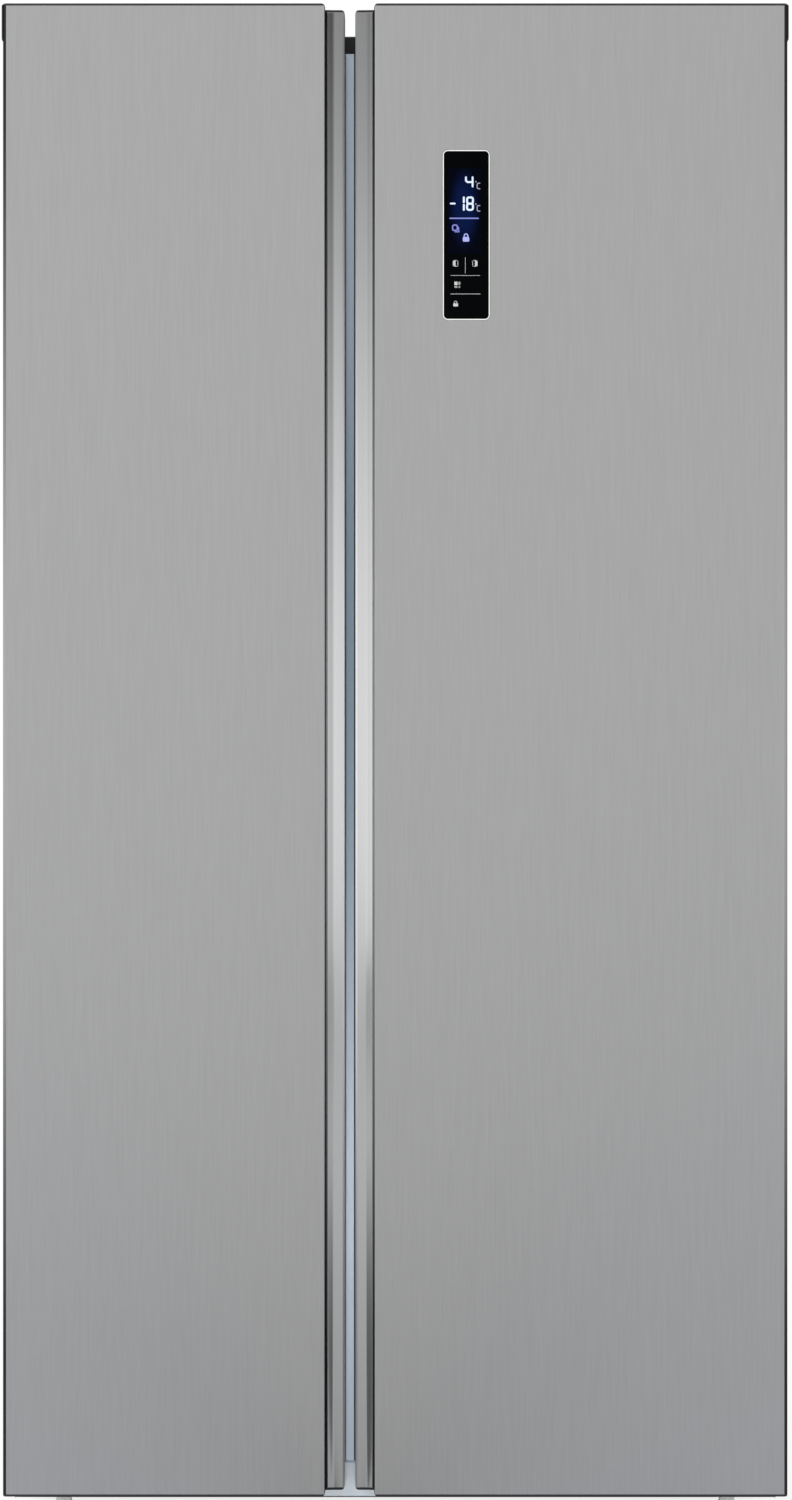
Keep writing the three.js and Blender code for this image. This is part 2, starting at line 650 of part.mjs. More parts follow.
// Moulded cover over the machine compartment: louvres for its air and a grommet for the mains lead.
function compressorCover() {
  const [x0, x1] = [-half + 8, half - 8];
  const [z0, z1] = [CABINET_BOTTOM + 4, MACHINE_TOP - 3];
  const wall = 2.5;
  const front = CABINET_BACK - 2;
  const dish = (inset) => {
    const section = outline([
      [front, z0 + inset],
      [BACK - 10, z0 + inset],
      [BACK - inset, z0 + 12, 6],
      [BACK - inset, z1 - 12, 6],
      [BACK - 10, z1 - inset],
      [front, z1 - inset],
    ]);
    return side(section, [x0 + inset, x1 - inset]);
  };
  const hollow = cut(dish(wall), block([x0, x1], [BACK - wall, BACK + 1], [0, 500]));
  const open = block([x0 + wall, x1 - wall], [front - 5, front + 1], [z0 + wall, z1 - wall]);
  const slits = Array.from({ length: 16 }, (_, i) => {
    const x = -375 + 50 * i;
    return block([x - 8, x + 8], [BACK - 8, BACK + 1], [92, 232]);
  });
  const gland = { x: 408, z: 60 };
  const collar = face(disc(gland.x, gland.z, 11, 16), [BACK - 8, BACK - 0.2]);
  const bore = face(disc(gland.x, gland.z, 5, 12), [BACK - 20, BACK + 1]);
  const body = cut(dish(0), hollow, open, ...slits);
  return piece("compressor_cover", cut(join(body, collar), bore), blackPlastic);
}

// ---------------------------------------------------------------- hinges, drawn at the left door
const ARM = 11;
const PLATE_Z = CABINET_TOP + GAP;
const POCKET_FLOOR = DOOR_TOP - 34;
const cabinetV = CABINET_FRONT - FRONT; // the cabinet front plane, measured from the door face

// The round end of a hinge arm about the pin, and its straight sides back to a given depth.
const armOutline = (radius, back) =>
  new THREE.Shape([
    new THREE.Vector2(PIN_IN + radius, back),
    ...Array.from({ length: 7 }, (_, i) => {
      const angle = (-Math.PI * i) / 6;
      return new THREE.Vector2(PIN_IN + radius * Math.cos(angle), PIN_BACK + radius * Math.sin(angle));
    }),
    new THREE.Vector2(PIN_IN - radius, back),
  ]);

function upperHinge(name) {
  const thick = [PLATE_Z, PLATE_Z + 3];
  const arm = plan(armOutline(ARM, cabinetV + 20), thick);
  const [near, far] = [cabinetV + 8, cabinetV + 76];
  const foot = plan(
    outline([[11, near, 3], [40, near, 6], [74, cabinetV + 34, 8], [74, far, 6], [11, far, 6]]),
    thick,
  );
  const pin = plan(disc(PIN_IN, PIN_BACK, PIN_RADIUS), [POCKET_FLOOR - 15, PLATE_Z + 1]);
  return piece(name, join(arm, foot, pin), zincSteel);
}

function hingeCover(name) {
  const wall = 2.5;
  const nose = (radius, top) => plan(armOutline(radius, cabinetV + 12), [POCKET_FLOOR + 3, top]);
  const body = (inset) =>
    side(
      outline([
        [cabinetV + 0.6 + inset, CABINET_TOP + 0.6],
        [cabinetV + 0.6 + inset, DOOR_TOP - 6 - inset, 6],
        [cabinetV + 18, 1765 - inset, 16],
        [cabinetV + 84 - inset, 1765 - inset, 10],
        [cabinetV + 92 - inset, CABINET_TOP + 0.6],
      ]),
      [5 + inset, 78 - inset],
      roundEnds(4, 1),
    );
  const hollow = join(nose(ARM + 0.4, DOOR_TOP - 7), body(wall), body(wall).translate([0, 0, -6]));
  const underNose = block([0, 90], [cabinetV - GAP, cabinetV + 40], [POCKET_FLOOR, CABINET_TOP + 0.6]);
  const outside = cut(nose(ARM + 0.4 + wall, DOOR_TOP - 4.5), underNose);
  return piece(name, cut(join(outside, body(0)), hollow), blackPlastic);
}

function lowerHinge(name) {
  const level = DOOR_BOTTOM - 7;
  const face0 = cabinetV - GAP - 2.5;
  const back = face(rectangle(7, 43, CABINET_BOTTOM + 2, DOOR_BOTTOM - 2, 4, 2), [face0, cabinetV - GAP]);
  const arm = plan(armOutline(ARM, cabinetV - 1), [level, level + 3]);
  const pin = plan(disc(PIN_IN, PIN_BACK, PIN_RADIUS), [level + 1, DOOR_BOTTOM + 13]);
  return piece(name, join(back, arm, pin), zincSteel);
}

// ---------------------------------------------------------------- the doors, drawn as the left door
const doors = [
  {
    name: "freezer_door",
    isRight: false,
    width: DOOR_GAP_CENTRE - DOOR_GAP / 2 + DOOR_SPAN / 2,
    opening: mullionLeft + DOOR_SPAN / 2, // far side of the compartment, from the outer edge of the door
    bins: [600, 950, 1300],
  },
  {
    name: "fridge_door",
    isRight: true,
    width: DOOR_SPAN / 2 - DOOR_GAP_CENTRE - DOOR_GAP / 2,
    opening: DOOR_SPAN / 2 - mullionRight,
    bins: [590, 865, 1140, 1415],
  },
];
const BIN_DEPTH = [77, 150]; // from the door face
const GASKET_IN = 24.5;
const GASKET_WIDE = 14;
const gasketV = [59.2, cabinetV - GAP];
const RIB = 12; // the two upright ribs of a door liner, between which the bins hang
const HINGE_RIB_REACH = 140; // how far they reach into the cabinet from the door face
const FAR_RIB_REACH = 118;
const PLATEAU = 76;
const hingeRib = 58;
const farRib = (door) => door.opening - 22.5;

const faceWidth = (door) => door.width - GRIP_WIDTH;
const panelWindow = (clearance, depth) =>
  face(
    rectangle(
      PANEL.centre - PANEL.width / 2 - clearance,
      PANEL.centre + PANEL.width / 2 + clearance,
      PANEL.bottom - clearance,
      PANEL.top + clearance,
      PANEL.corner + clearance,
      3,
    ),
    depth,
  );

// The space that a door fills, seen from the front: its face and the strip behind it, with rounded corners.
function doorFront(door) {
  const shape = (far) =>
    outline(
      [
        [-SKIRT, DOOR_BOTTOM, DOOR_CORNER - 1],
        [far, DOOR_BOTTOM, DOOR_CORNER],
        [far, DOOR_TOP, DOOR_CORNER],
        [-SKIRT, DOOR_TOP, DOOR_CORNER - 1],
      ],
      3,
    );
  return join(
    face(shape(faceWidth(door)), [-5, GRIP_DEPTH - 1]),
    face(shape(door.width), [GRIP_DEPTH - 1, DOOR_THICK + 5]),
  );
}

// The pocket in the top of a door that lets it swing round the fixed hinge arm.
const hingePocket = (grow) =>
  plan(
    outline([[-5, 7.5 - grow], [38 + grow, 7.5 - grow, 12], [38 + grow, 70], [-5, 70]]),
    [POCKET_FLOOR - grow, DOOR_TOP + 5],
  );

const betweenCaps = [DOOR_BOTTOM + CAP_PLATE + GAP, DOOR_TOP - CAP_PLATE - GAP];

// One steel sheet: folded round the outer edge, hemmed behind the inner edge of the face.
function doorSkin(door) {
  const w = faceWidth(door);
  const bends = [
    [12, DOOR_THICK],
    [0, DOOR_THICK, 2.5],
    [0, 0, 4],
    [w, 0, 2.5],
    [w, 8, 2],
    [w - 16, 8],
  ];
  const blank = plan(sheet(bends, DOOR_SHEET, 4), betweenCaps).intersect(doorFront(door));
  const forPocket = block([-5, 20], [7.2, 70], [POCKET_FLOOR - 4 - GAP, DOOR_TOP]);
  const windows = door.isRight ? [panelWindow(BEZEL + GAP, [-1, 3])] : [];
  return piece(`${door.name}_skin`, cut(blank, forPocket, ...windows), brushedSteel);
}

// The finger groove: a strip in two flats, a nose that turns in behind the face, and a hidden pocket wall.
function gripProfile(door) {
  const w = faceWidth(door);
  const bends = [
    [door.width, 58.2],
    [door.width, GRIP_DEPTH, 2.5],
    [w + 9, GRIP_DEPTH, 36],
    [w + 1, GRIP_DEPTH - 0.8, 2.2],
    [w - 1, GRIP_DEPTH + 4.2, 3],
    [w - 18, GRIP_DEPTH + 16, 9],
    [w - 18, 10.2, 3],
    [w - 3, 10.2],
  ];
  const body = plan(sheet(bends, -GRIP_SHEET, 4), betweenCaps).intersect(doorFront(door));
  return piece(`${door.name}_grip`, body, gripMetal);
}

// The inside of the skin and the grip profile in plan, which the foam and the end cap plugs fill.
const doorInside = (door, inset) => {
  const w = faceWidth(door);
  const a = 1.6 + inset;
  return outline([
    [a, a, 3],
    [w - 21 - inset, a],
    [w - 21 - inset, GRIP_DEPTH + 8, 6],
    [w - 12, GRIP_DEPTH + 15 + inset, 6],
    [w + 8, GRIP_DEPTH + 4 + inset],
    [door.width - 2.2 - inset, GRIP_DEPTH + 3 + inset],
    [door.width - 2.2 - inset, 55.8],
    [a, 55.8],
  ]);
};

const capOutline = (door) =>
  outline([
    [0, 0, 4],
    [faceWidth(door), 0, 2.5],
    [faceWidth(door), GRIP_DEPTH - 0.8],
    [faceWidth(door) + 9, GRIP_DEPTH],
    [door.width, GRIP_DEPTH, 2.5],
    [door.width, DOOR_THICK, 3],
    [0, DOOR_THICK, 3],
  ]);

// The collar of a cap, which plugs into the end of the door.
const plug = (door, [z0, z1]) =>
  cut(plan(doorInside(door, 0), [z0, z1]), plan(doorInside(door, 2.5), [z0 - 1, z1 + 1]));

function topCap(door) {
  const plate = plan(capOutline(door), [DOOR_TOP - CAP_PLATE, DOOR_TOP]);
  const ring = plug(door, [DOOR_TOP - 14, DOOR_TOP - CAP_PLATE + 0.5]);
  const tub = plan(rectangle(1.6, 41, 1.6, 55.8, 3), [POCKET_FLOOR - 4, DOOR_TOP - CAP_PLATE + 0.5]);
  const boss = plan(disc(PIN_IN, PIN_BACK, 10), [POCKET_FLOOR - 16, POCKET_FLOOR]);
  const skirtShape = outline([
    [1, POCKET_FLOOR - 4],
    [3, POCKET_FLOOR - 7, 2],
    [56, POCKET_FLOOR - 7, 2],
    [58, POCKET_FLOOR - 4],
    [58, DOOR_TOP - 1],
    [1, DOOR_TOP - 1],
  ]);
  const skirt = side(skirtShape, [-SKIRT, -0.02]);
  const rim = block([-SKIRT, 2], [1, 58], [DOOR_TOP - CAP_PLATE, DOOR_TOP - 1]);
  const floorEdge = block([-SKIRT, 2], [8, 58], [POCKET_FLOOR - 4, POCKET_FLOOR]);
  const bore = plan(disc(PIN_IN, PIN_BACK, PIN_HOLE, 12), [POCKET_FLOOR - 20, POCKET_FLOOR + 1]);
  const body = join(plate, ring, tub, boss, skirt, rim, floorEdge).intersect(doorFront(door));
  return piece(`${door.name}_top_cap`, cut(body, hingePocket(0), bore), capPlastic);
}

function bottomCap(door) {
  const plate = plan(capOutline(door), [DOOR_BOTTOM, DOOR_BOTTOM + CAP_PLATE]);
  const ring = plug(door, [DOOR_BOTTOM + CAP_PLATE - 0.5, DOOR_BOTTOM + 14]);
  const boss = plan(disc(PIN_IN, PIN_BACK, 10, 12), [DOOR_BOTTOM + 1, DOOR_BOTTOM + 20]);
  const bore = plan(disc(PIN_IN, PIN_BACK, PIN_HOLE, 12), [DOOR_BOTTOM - 1, DOOR_BOTTOM + 16]);
  const body = join(plate, ring, boss).intersect(doorFront(door));
  return piece(`${door.name}_bottom_cap`, cut(body, bore), capPlastic);
}

// The bulges of the door liner into the cabinet: a low plateau, and two ribs that carry the bins.
function linerBulge(door, inset) {
  const from = DOOR_THICK - 14;
  const [u0, u1] = [55.5 + inset, door.opening - 4.5 - inset];
  const [z0, z1] = [CAVITY_FLOOR + 6 + inset, CAVITY_TOP - 6 - inset];
  const plateau = face(rectangle(u0, u1, z0, z1, 22), [from, PLATEAU - inset], roundEnds(5, 1));
  const ribs = [[hingeRib, HINGE_RIB_REACH], [farRib(door), FAR_RIB_REACH]].map(([u, reach]) => {
    const [near, far, crest, tip] = [u + inset, u + RIB - inset, reach - inset, 5 - inset];
    const section = outline([[near, from], [far, from], [far, crest, tip], [near, crest, tip]], 1);
    return plan(section, [566 + inset, CAVITY_TOP - 22 - inset]);
  });
  return join(plateau, ...ribs);
}

function doorLiner(door) {
  const [v0, v1] = [56.2, 58.6];
  const flange = face(rectangle(2, door.width - 2.4, DOOR_BOTTOM + 4, DOOR_TOP - 4, 3), [v0, v1]);
  const ledges = door.bins.flatMap((z) =>
    [hingeRib + RIB - 1, farRib(door) - 9].map((u) =>
      side(
        outline([[PLATEAU, z - 16], [136, z - 8, 3], [136, z - GAP], [PLATEAU, z - GAP]]),
        [u, u + 10],
      ),
    ),
  );
  const front = block([-10, 600], [0, v0], [0, 2000]);
  const nearFarRib = block([door.opening - 40, door.opening], [114, 200], [0, 2000]);
  const shell = cut(join(flange, linerBulge(door, 0)), linerBulge(door, LINER), front);
  const shelves = join(...ledges).subtract(nearFarRib);
  const outerFold = block([-5, 12.6], [58.4, 70], [0, 2000]);
  const farFold = block([door.width - 2.3, door.width + 5], [40, 70], [0, 2000]);
  const body = cut(join(shell, shelves), hingePocket(4.4), outerFold, farFold);
  return piece(`${door.name}_liner`, body, whitePlastic);
}

function doorFoam(door) {
  const core = plan(doorInside(door, 0), [DOOR_BOTTOM + 14 + GAP, DOOR_TOP - 14 - GAP]);
  const plateau = block(
    [68, door.opening - 17],
    [50, PLATEAU - LINER - GAP],
    [CAVITY_FLOOR + 19, CAVITY_TOP - 19],
  );
  const nearPins = [[DOOR_BOTTOM, DOOR_BOTTOM + 20 + GAP], [POCKET_FLOOR - 16 - GAP, DOOR_TOP]].map((z) =>
    block([0, 41 + GAP], [0, 60], z),
  );
  const housing = door.isRight ? [panelWindow(BEZEL + GAP, [0, 24])] : [];
  return piece(`${door.name}_foam`, cut(join(core, plateau), ...nearPins, ...housing), foam);
}

// The magnetic seal: a dart ring against the liner, a soft bellows, and the flat magnet face.
function gasket(door) {
  const far = door.width - 4;
  const [low, high] = [RAIL_BOTTOM + 4, CAVITY_TOP + 34];
  const ring = (inset, depth) => {
    const hole = GASKET_WIDE - inset;
    const shape = rectangle(GASKET_IN + inset, far - inset, low + inset, high - inset, 10 - inset);
    shape.holes.push(rectangle(GASKET_IN + hole, far - hole, low + hole, high - hole));
    return face(shape, depth);
  };
  const [v0, v1] = gasketV;
  const rings = [ring(3, [v0, v0 + 4]), ring(1.5, [v0 + 3.5, v1 - 4]), ring(0, [v1 - 4, v1])];
  return piece(`${door.name}_gasket`, join(...rings), gasketRubber);
}

function doorBin(door, z, number) {
  const [u0, u1] = [hingeRib + RIB + 1, farRib(door) - 1];
  const [v0, v1] = BIN_DEPTH;
  const wall = 2.5;
  const bowed = (inset, front) => {
    const [near, far, corner] = [u0 + inset, u1 - inset, 20 - inset];
    return outline([[near, v0 + inset], [far, v0 + inset], [far, front, corner], [near, front, corner]], 2);
  };
  const tray = plan(bowed(0, v1 - 2), [z, z + 70]);
  const band = plan(bowed(0, v1), [z + 66, z + 104]);
  const inside = plan(bowed(wall, v1 - 2 - wall), [z + wall, z + 110]);
  const backEdge = block([u0 + 14, u1 - 14], [v0 - 1, v0 + 6], [z + 60, z + 110]);
  return piece(`${door.name}_bin_${number}`, cut(join(tray, band), inside, backEdge), clearPlastic);
}

// The touch panel: a black glass and its bezel in the window of the skin, on a housing set into the foam.
function controlPanel() {
  const inner = PANEL.width / 2 - 2;
  const glass = panelWindow(0, [0.2, 3]);
  const bezel = cut(panelWindow(BEZEL, [0.05, 3]), panelWindow(0, [-1, 1]));
  const housing = face(
    rectangle(PANEL.centre - inner, PANEL.centre + inner, PANEL.bottom + 2, PANEL.top - 2, 3),
    [2.5, 23],
  );
  return piece("control_panel", join(glass, bezel, housing), panelGlass);
}

function buildDoor(door) {
  const bins = door.bins.map((z, i) => doorBin(door, z, i + 1));
  const makers = [doorSkin, gripProfile, topCap, bottomCap, doorLiner, doorFoam, gasket];
  const parts = makers.map((make) => make(door));
  const panel = door.isRight ? [controlPanel()] : [];
  return atDoorSide([...parts, ...bins, ...panel], door.isRight);
}

// ---------------------------------------------------------------- the whole refrigerator
const [freezer, fridge] = compartments;

const interiors = compartments.map((room) => {
  const levels = [...room.shelves];
  const lid = room.name === "fridge" ? [shelf(room, levels.shift(), "drawer_lid")] : [];
  return [
    liner(room),
    ductCover(room),
    ...lid,
    ...levels.map((z, i) => shelf(room, z, `shelf_${i + 1}`)),
    ...drawerRows.map((row) => drawer(room, row)),
  ];
});

const hinges = [false, true].map((isRight) => {
  const label = isRight ? "right" : "left";
  const arm = upperHinge(`upper_hinge_${label}`);
  const cover = hingeCover(`hinge_cover_${label}`);
  const bracket = lowerHinge(`lower_hinge_${label}`);
  return atDoorSide([arm, cover, bracket], isRight);
});

const refrigerator = group(
  cabinetShell(),
  mullionStrip(),
  topTrim(),
  basePanel(),
  backPanel(),
  basePan(),
  insulation(),
  frontFoot("front_foot_left", -FOOT_X),
  frontFoot("front_foot_right", FOOT_X),
  rearRoller("rear_roller_left", -ROLLER_X),
  rearRoller("rear_roller_right", ROLLER_X),
  compressor(),
  condenserCoil(),
  condenserFan(),
  compressorCover(),
  evaporator(freezer),
  evaporatorFan(freezer),
  ...interiors,
  ...hinges,
  ...doors.map(buildDoor),
);

export default refrigerator;
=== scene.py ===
# A free-standing side by side refrigerator, finished piece by piece in the order in which it is put together.
# Metres, +X to the right as seen from the front, +Y to the back, +Z up. The origin is on the floor below
# its middle.
import json
import math

import bmesh
import bpy
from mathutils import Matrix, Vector


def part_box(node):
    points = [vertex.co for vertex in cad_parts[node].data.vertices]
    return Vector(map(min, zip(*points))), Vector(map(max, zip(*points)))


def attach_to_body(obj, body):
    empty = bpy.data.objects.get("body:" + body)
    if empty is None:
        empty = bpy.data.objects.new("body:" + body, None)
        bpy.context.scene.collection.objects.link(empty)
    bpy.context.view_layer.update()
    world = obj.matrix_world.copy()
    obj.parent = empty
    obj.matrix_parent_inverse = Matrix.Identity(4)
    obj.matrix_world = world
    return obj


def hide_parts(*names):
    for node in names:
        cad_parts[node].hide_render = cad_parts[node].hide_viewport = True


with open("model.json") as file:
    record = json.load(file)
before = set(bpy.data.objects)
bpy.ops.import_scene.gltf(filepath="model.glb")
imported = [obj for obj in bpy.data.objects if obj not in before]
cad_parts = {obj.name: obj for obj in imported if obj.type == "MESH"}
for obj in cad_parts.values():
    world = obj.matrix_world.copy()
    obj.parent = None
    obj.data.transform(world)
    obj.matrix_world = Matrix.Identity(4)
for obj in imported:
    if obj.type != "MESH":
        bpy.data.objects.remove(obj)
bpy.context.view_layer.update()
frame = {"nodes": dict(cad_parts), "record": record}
MM = 0.001


# ---------------------------------------------------------------- studio
# A pale floor, a white surround and one large soft lamp in front. Two small lamps follow with the front
# frame, for what lies in the shade of the doors. A long lens looks level and square at the doors from a
# little over three metres.
def linear(hex_colour):
    channels = [int(hex_colour[i : i + 2], 16) / 255 for i in (0, 2, 4)]
    return [c / 12.92 if c <= 0.04045 else ((c + 0.055) / 1.055) ** 2.4 for c in channels] + [1.0]


def add(tree, kind, **settings):
    """Adds one node. Lower-case settings are its properties, _0 is an input by number and the rest are inputs
    by name. A socket given as a value is linked."""
    made = tree.nodes.new(kind)
    for name, value in settings.items():
        if name[0].islower():
            setattr(made, name, value)
            continue
        key = int(name[1:]) if name[0] == "_" else name.replace("_", " ")
        if isinstance(value, bpy.types.NodeSocket):
            tree.links.new(value, made.inputs[key])
        else:
            made.inputs[key].default_value = value
    return made


def open_finish(name):
    material = bpy.data.materials.new(name)
    material.use_nodes = True
    tree = material.node_tree
    tree.nodes.clear()
    return material, tree, add(tree, "ShaderNodeTexCoord").outputs["Object"]


def close_finish(tree, **settings):
    shader = add(tree, "ShaderNodeBsdfPrincipled", **settings)
    add(tree, "ShaderNodeOutputMaterial", Surface=shader.outputs["BSDF"])


def calculate(tree, operation, *values):
    """The result of one step of arithmetic on sockets and numbers."""
    inputs = {f"_{i}": value for i, value in enumerate(values)}
    return add(tree, "ShaderNodeMath", operation=operation, **inputs).outputs[0]


def ramp(tree, value, start, end, low=0.0, high=1.0, eased=False):
    """Goes from low to high while a value goes from start to end, evenly or eased in and out."""
    way = "SMOOTHSTEP" if eased else "LINEAR"
    return add(tree, "ShaderNodeMapRange", interpolation_type=way, Value=value, From_Min=start, From_Max=end,
               To_Min=low, To_Max=high).outputs[0]


def two_tone(tree, share, low, high):
    """A colour between two hex colours or sockets, at a share from 0 to 1."""
    low, high = [linear(end) if isinstance(end, str) else end for end in (low, high)]
    return add(tree, "ShaderNodeMix", data_type="RGBA", _0=share, _6=low, _7=high).outputs[2]


def new_object(name, mesh, *finishes):
    made = bpy.data.objects.new(name, mesh)
    bpy.context.scene.collection.objects.link(made)
    for finish in finishes:
        mesh.materials.append(finish)
    return made


scene = bpy.context.scene
scene.view_settings.view_transform = "Standard"

camera = bpy.data.objects.new("camera", bpy.data.cameras.new("camera"))
camera.data.lens = 68.86
camera.data.sensor_width = 36.0
camera.location = (0.0009, -3.623, 0.899)
camera.rotation_euler = (math.radians(90), 0.0, 0.0)
scene.collection.objects.link(camera)
scene.camera = camera


def soft_lamp(name, width, tall, watts, stand, aim):
    """A rectangular lamp that doesn't show in metal."""
    lamp = bpy.data.objects.new(name, bpy.data.lights.new(name, "AREA"))
    lamp.data.shape = "RECTANGLE"
    lamp.data.size = width
    lamp.data.size_y = tall
    lamp.data.energy = watts
    lamp.location = stand
    lamp.rotation_euler = (Vector(aim) - lamp.location).to_track_quat("-Z", "Y").to_euler()
    lamp.visible_glossy = False
    scene.collection.objects.link(lamp)
    return lamp


soft_lamp("key_lamp", 3.2, 2.4, 115.0, (-2.4, -4.2, 3.4), (0, 0, 0.9))

# Matt floor paint. To the eye it is white and lit from below, so that only a faint shadow is left. It lights
# the refrigerator as white paint does. In metal it is grey, with two darker bands that spread out from the
# gap between the doors and fade with the distance.
floor_paint, tree, place = open_finish("floor_paint")
light_path = add(tree, "ShaderNodeLightPath")
spot = add(tree, "ShaderNodeSeparateXYZ", Vector=place)
gap_x, gap_y = -0.05, -0.31
to_side = calculate(tree, "ABSOLUTE", calculate(tree, "ADD", spot.outputs["X"], -gap_x))
in_front = calculate(tree, "SUBTRACT", gap_y, spot.outputs["Y"])
bands = add(tree, "ShaderNodeValToRGB", Fac=calculate(tree, "DIVIDE", to_side, in_front))
for stop, tone in ((0.08, "BEBEBE"), (0.115, "565656"), (0.3, "646464"), (0.8, "A6ADB7")):
    bands.color_ramp.elements.new(stop).color = linear(tone)
bands.color_ramp.elements.remove(bands.color_ramp.elements[0])
bands.color_ramp.elements.remove(bands.color_ramp.elements[-1])
distance = ramp(tree, in_front, 0.8, 3.4, 0.0, 0.85, eased=True)
in_metal = two_tone(tree, distance, bands.outputs["Color"], "C4C4C4")
seen = calculate(tree, "MAXIMUM", light_path.outputs["Is Camera Ray"],
                 light_path.outputs["Is Transmission Ray"])
bounced = two_tone(tree, light_path.outputs["Is Glossy Ray"], "F0F0EF", in_metal)
close_finish(tree, Base_Color=two_tone(tree, seen, bounced, "7C7C7C"), Roughness=0.9,
             Emission_Color=(1, 1, 1, 1), Emission_Strength=calculate(tree, "MULTIPLY", seen, 0.82))
sheet = bmesh.new()
bmesh.ops.create_grid(sheet, x_segments=1, y_segments=1, size=9.0)
floor_mesh = bpy.data.meshes.new("studio_floor")
sheet.to_mesh(floor_mesh)
sheet.free()
new_object("studio_floor", floor_mesh, floor_paint)

# The surround is white to the eye and through glass. In metal it is a studio: a wide soft light ahead, a long
# soft panel on either side of it at half height, a lit ceiling and darkness behind. The light ahead makes the
# strips brightest at half height, and the panels draw a bright rim along every rounded edge that fades to its
# ends.
world = bpy.data.worlds.new("surround")
scene.world = world
world.use_nodes = True
world.cycles.sampling_method = "NONE"
tree = world.node_tree
tree.nodes.clear()
light_path = add(tree, "ShaderNodeLightPath")
ray = add(tree, "ShaderNodeSeparateXYZ", Vector=add(tree, "ShaderNodeTexCoord").outputs["Generated"])
height = calculate(tree, "ABSOLUTE", ray.outputs["Z"])
aside = calculate(tree, "ABSOLUTE", calculate(tree, "ADD", ray.outputs["X"], 0.075))
across = add(tree, "ShaderNodeCombineXYZ", X=calculate(tree, "MULTIPLY", aside, 0.35), Y=height)
from_ahead = add(tree, "ShaderNodeVectorMath", operation="LENGTH", _0=across.outputs[0])
ahead = ramp(tree, from_ahead.outputs["Value"], 0.01, 0.29, 0.72, 0.0, eased=True)
middle_wall = ramp(tree, aside, 0.08, 0.22, 0.28, 0.07)
side_panel = ramp(tree, aside, 0.3, 0.4, 0.0, 0.75)
panel_end = ramp(tree, height, 0.0, 0.27, 1.0, 0.5, eased=True)
ceiling = ramp(tree, height, 0.30, 0.55, 0.0, 0.45, eased=True)
not_behind = ramp(tree, ray.outputs["Y"], 0.0, 0.1, 1.0, 0.05)
panel_glow = calculate(tree, "MULTIPLY", side_panel, panel_end)
beside = calculate(tree, "MULTIPLY", panel_glow, not_behind)
middle = calculate(tree, "ADD", middle_wall, ahead)
walls = calculate(tree, "ADD", beside, middle)
room_glow = calculate(tree, "ADD", walls, ceiling)
mirrored = add(tree, "ShaderNodeBackground", Color=(1, 1, 1, 1), Strength=room_glow)
soft = add(tree, "ShaderNodeBackground", Color=(1, 1, 1, 1), Strength=0.72)
white = add(tree, "ShaderNodeBackground", Color=(1, 1, 1, 1), Strength=1.0)
lit = add(tree, "ShaderNodeMixShader", _0=light_path.outputs["Is Glossy Ray"], _1=soft.outputs[0],
          _2=mirrored.outputs[0])
seen = calculate(tree, "MAXIMUM", light_path.outputs["Is Camera Ray"],
                 light_path.outputs["Is Transmission Ray"])
shown = add(tree, "ShaderNodeMixShader", _0=seen, _1=lit.outputs[0], _2=white.outputs[0])
add(tree, "ShaderNodeOutputWorld", Surface=shown.outputs[0])


# ---------------------------------------------------------------- steel cabinet
# The cabinet is one sheet of pre-painted steel bent over the top and both sides, with a front frame that the
# seals close on. The paint is a light blue-grey with a fine orange peel.
record = frame["record"]
body_of = {node: body for body, nodes in record["behaviour"]["bodies"].items() for node in nodes}


def dress(name, finish, edge=0.4, others=()):
    """A copy of a solid with its corners welded and its sharp edges broken, which stands for it. The others
    are (finish, test) pairs: a finish goes on the faces whose centre in mm and normal pass its test."""
    shape = bmesh.new()
    shape.from_mesh(frame["nodes"][name].data)
    bmesh.ops.remove_doubles(shape, verts=shape.verts, dist=0.01 * MM)
    bmesh.ops.dissolve_limit(shape, angle_limit=math.radians(0.5), verts=shape.verts, edges=shape.edges)
    for side in shape.faces:
        side.smooth = True
        for i, (_, passes) in enumerate(others):
            if passes(side.calc_center_median() / MM, side.normal):
                side.material_index = i + 1
    mesh = bpy.data.meshes.new(name + "_finished")
    shape.to_mesh(mesh)
    shape.free()
    made = new_object(name + "_finished", mesh, finish, *[other for other, _ in others])
    if edge:
        broken = made.modifiers.new("broken_edges", "BEVEL")
        broken.width = edge * MM
        broken.segments = 2
        broken.limit_method = "ANGLE"
        broken.angle_limit = math.radians(40)
        broken.use_clamp_overlap = False
    made.modifiers.new("true_flats", "WEIGHTED_NORMAL").keep_sharp = True
    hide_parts(name)
    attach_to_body(made, body_of[name])
    return made


def attach(made, body):
    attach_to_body(made, body)
    return made


# Polyester coil paint on galvanised steel: even and satin, with a faint orange peel. The peel is drawn 5 mm
# wide instead of 1 mm, so that it shows as a slight life in the highlights.
cabinet_paint, tree, place = open_finish("polyester_coil_paint")
peel = add(tree, "ShaderNodeTexNoise", Vector=place, Scale=1 / (5 * MM), Detail=2.0, Roughness=0.55)
tone = two_tone(tree, peel.outputs["Fac"], "AEB6BD", "B6BEC5")
relief = add(tree, "ShaderNodeBump", Height=peel.outputs["Fac"], Strength=0.12, Distance=0.05 * MM)
close_finish(tree, Base_Color=tone, Roughness=0.4, Normal=relief.outputs["Normal"])
dress("cabinet_shell", cabinet_paint, edge=0.5)

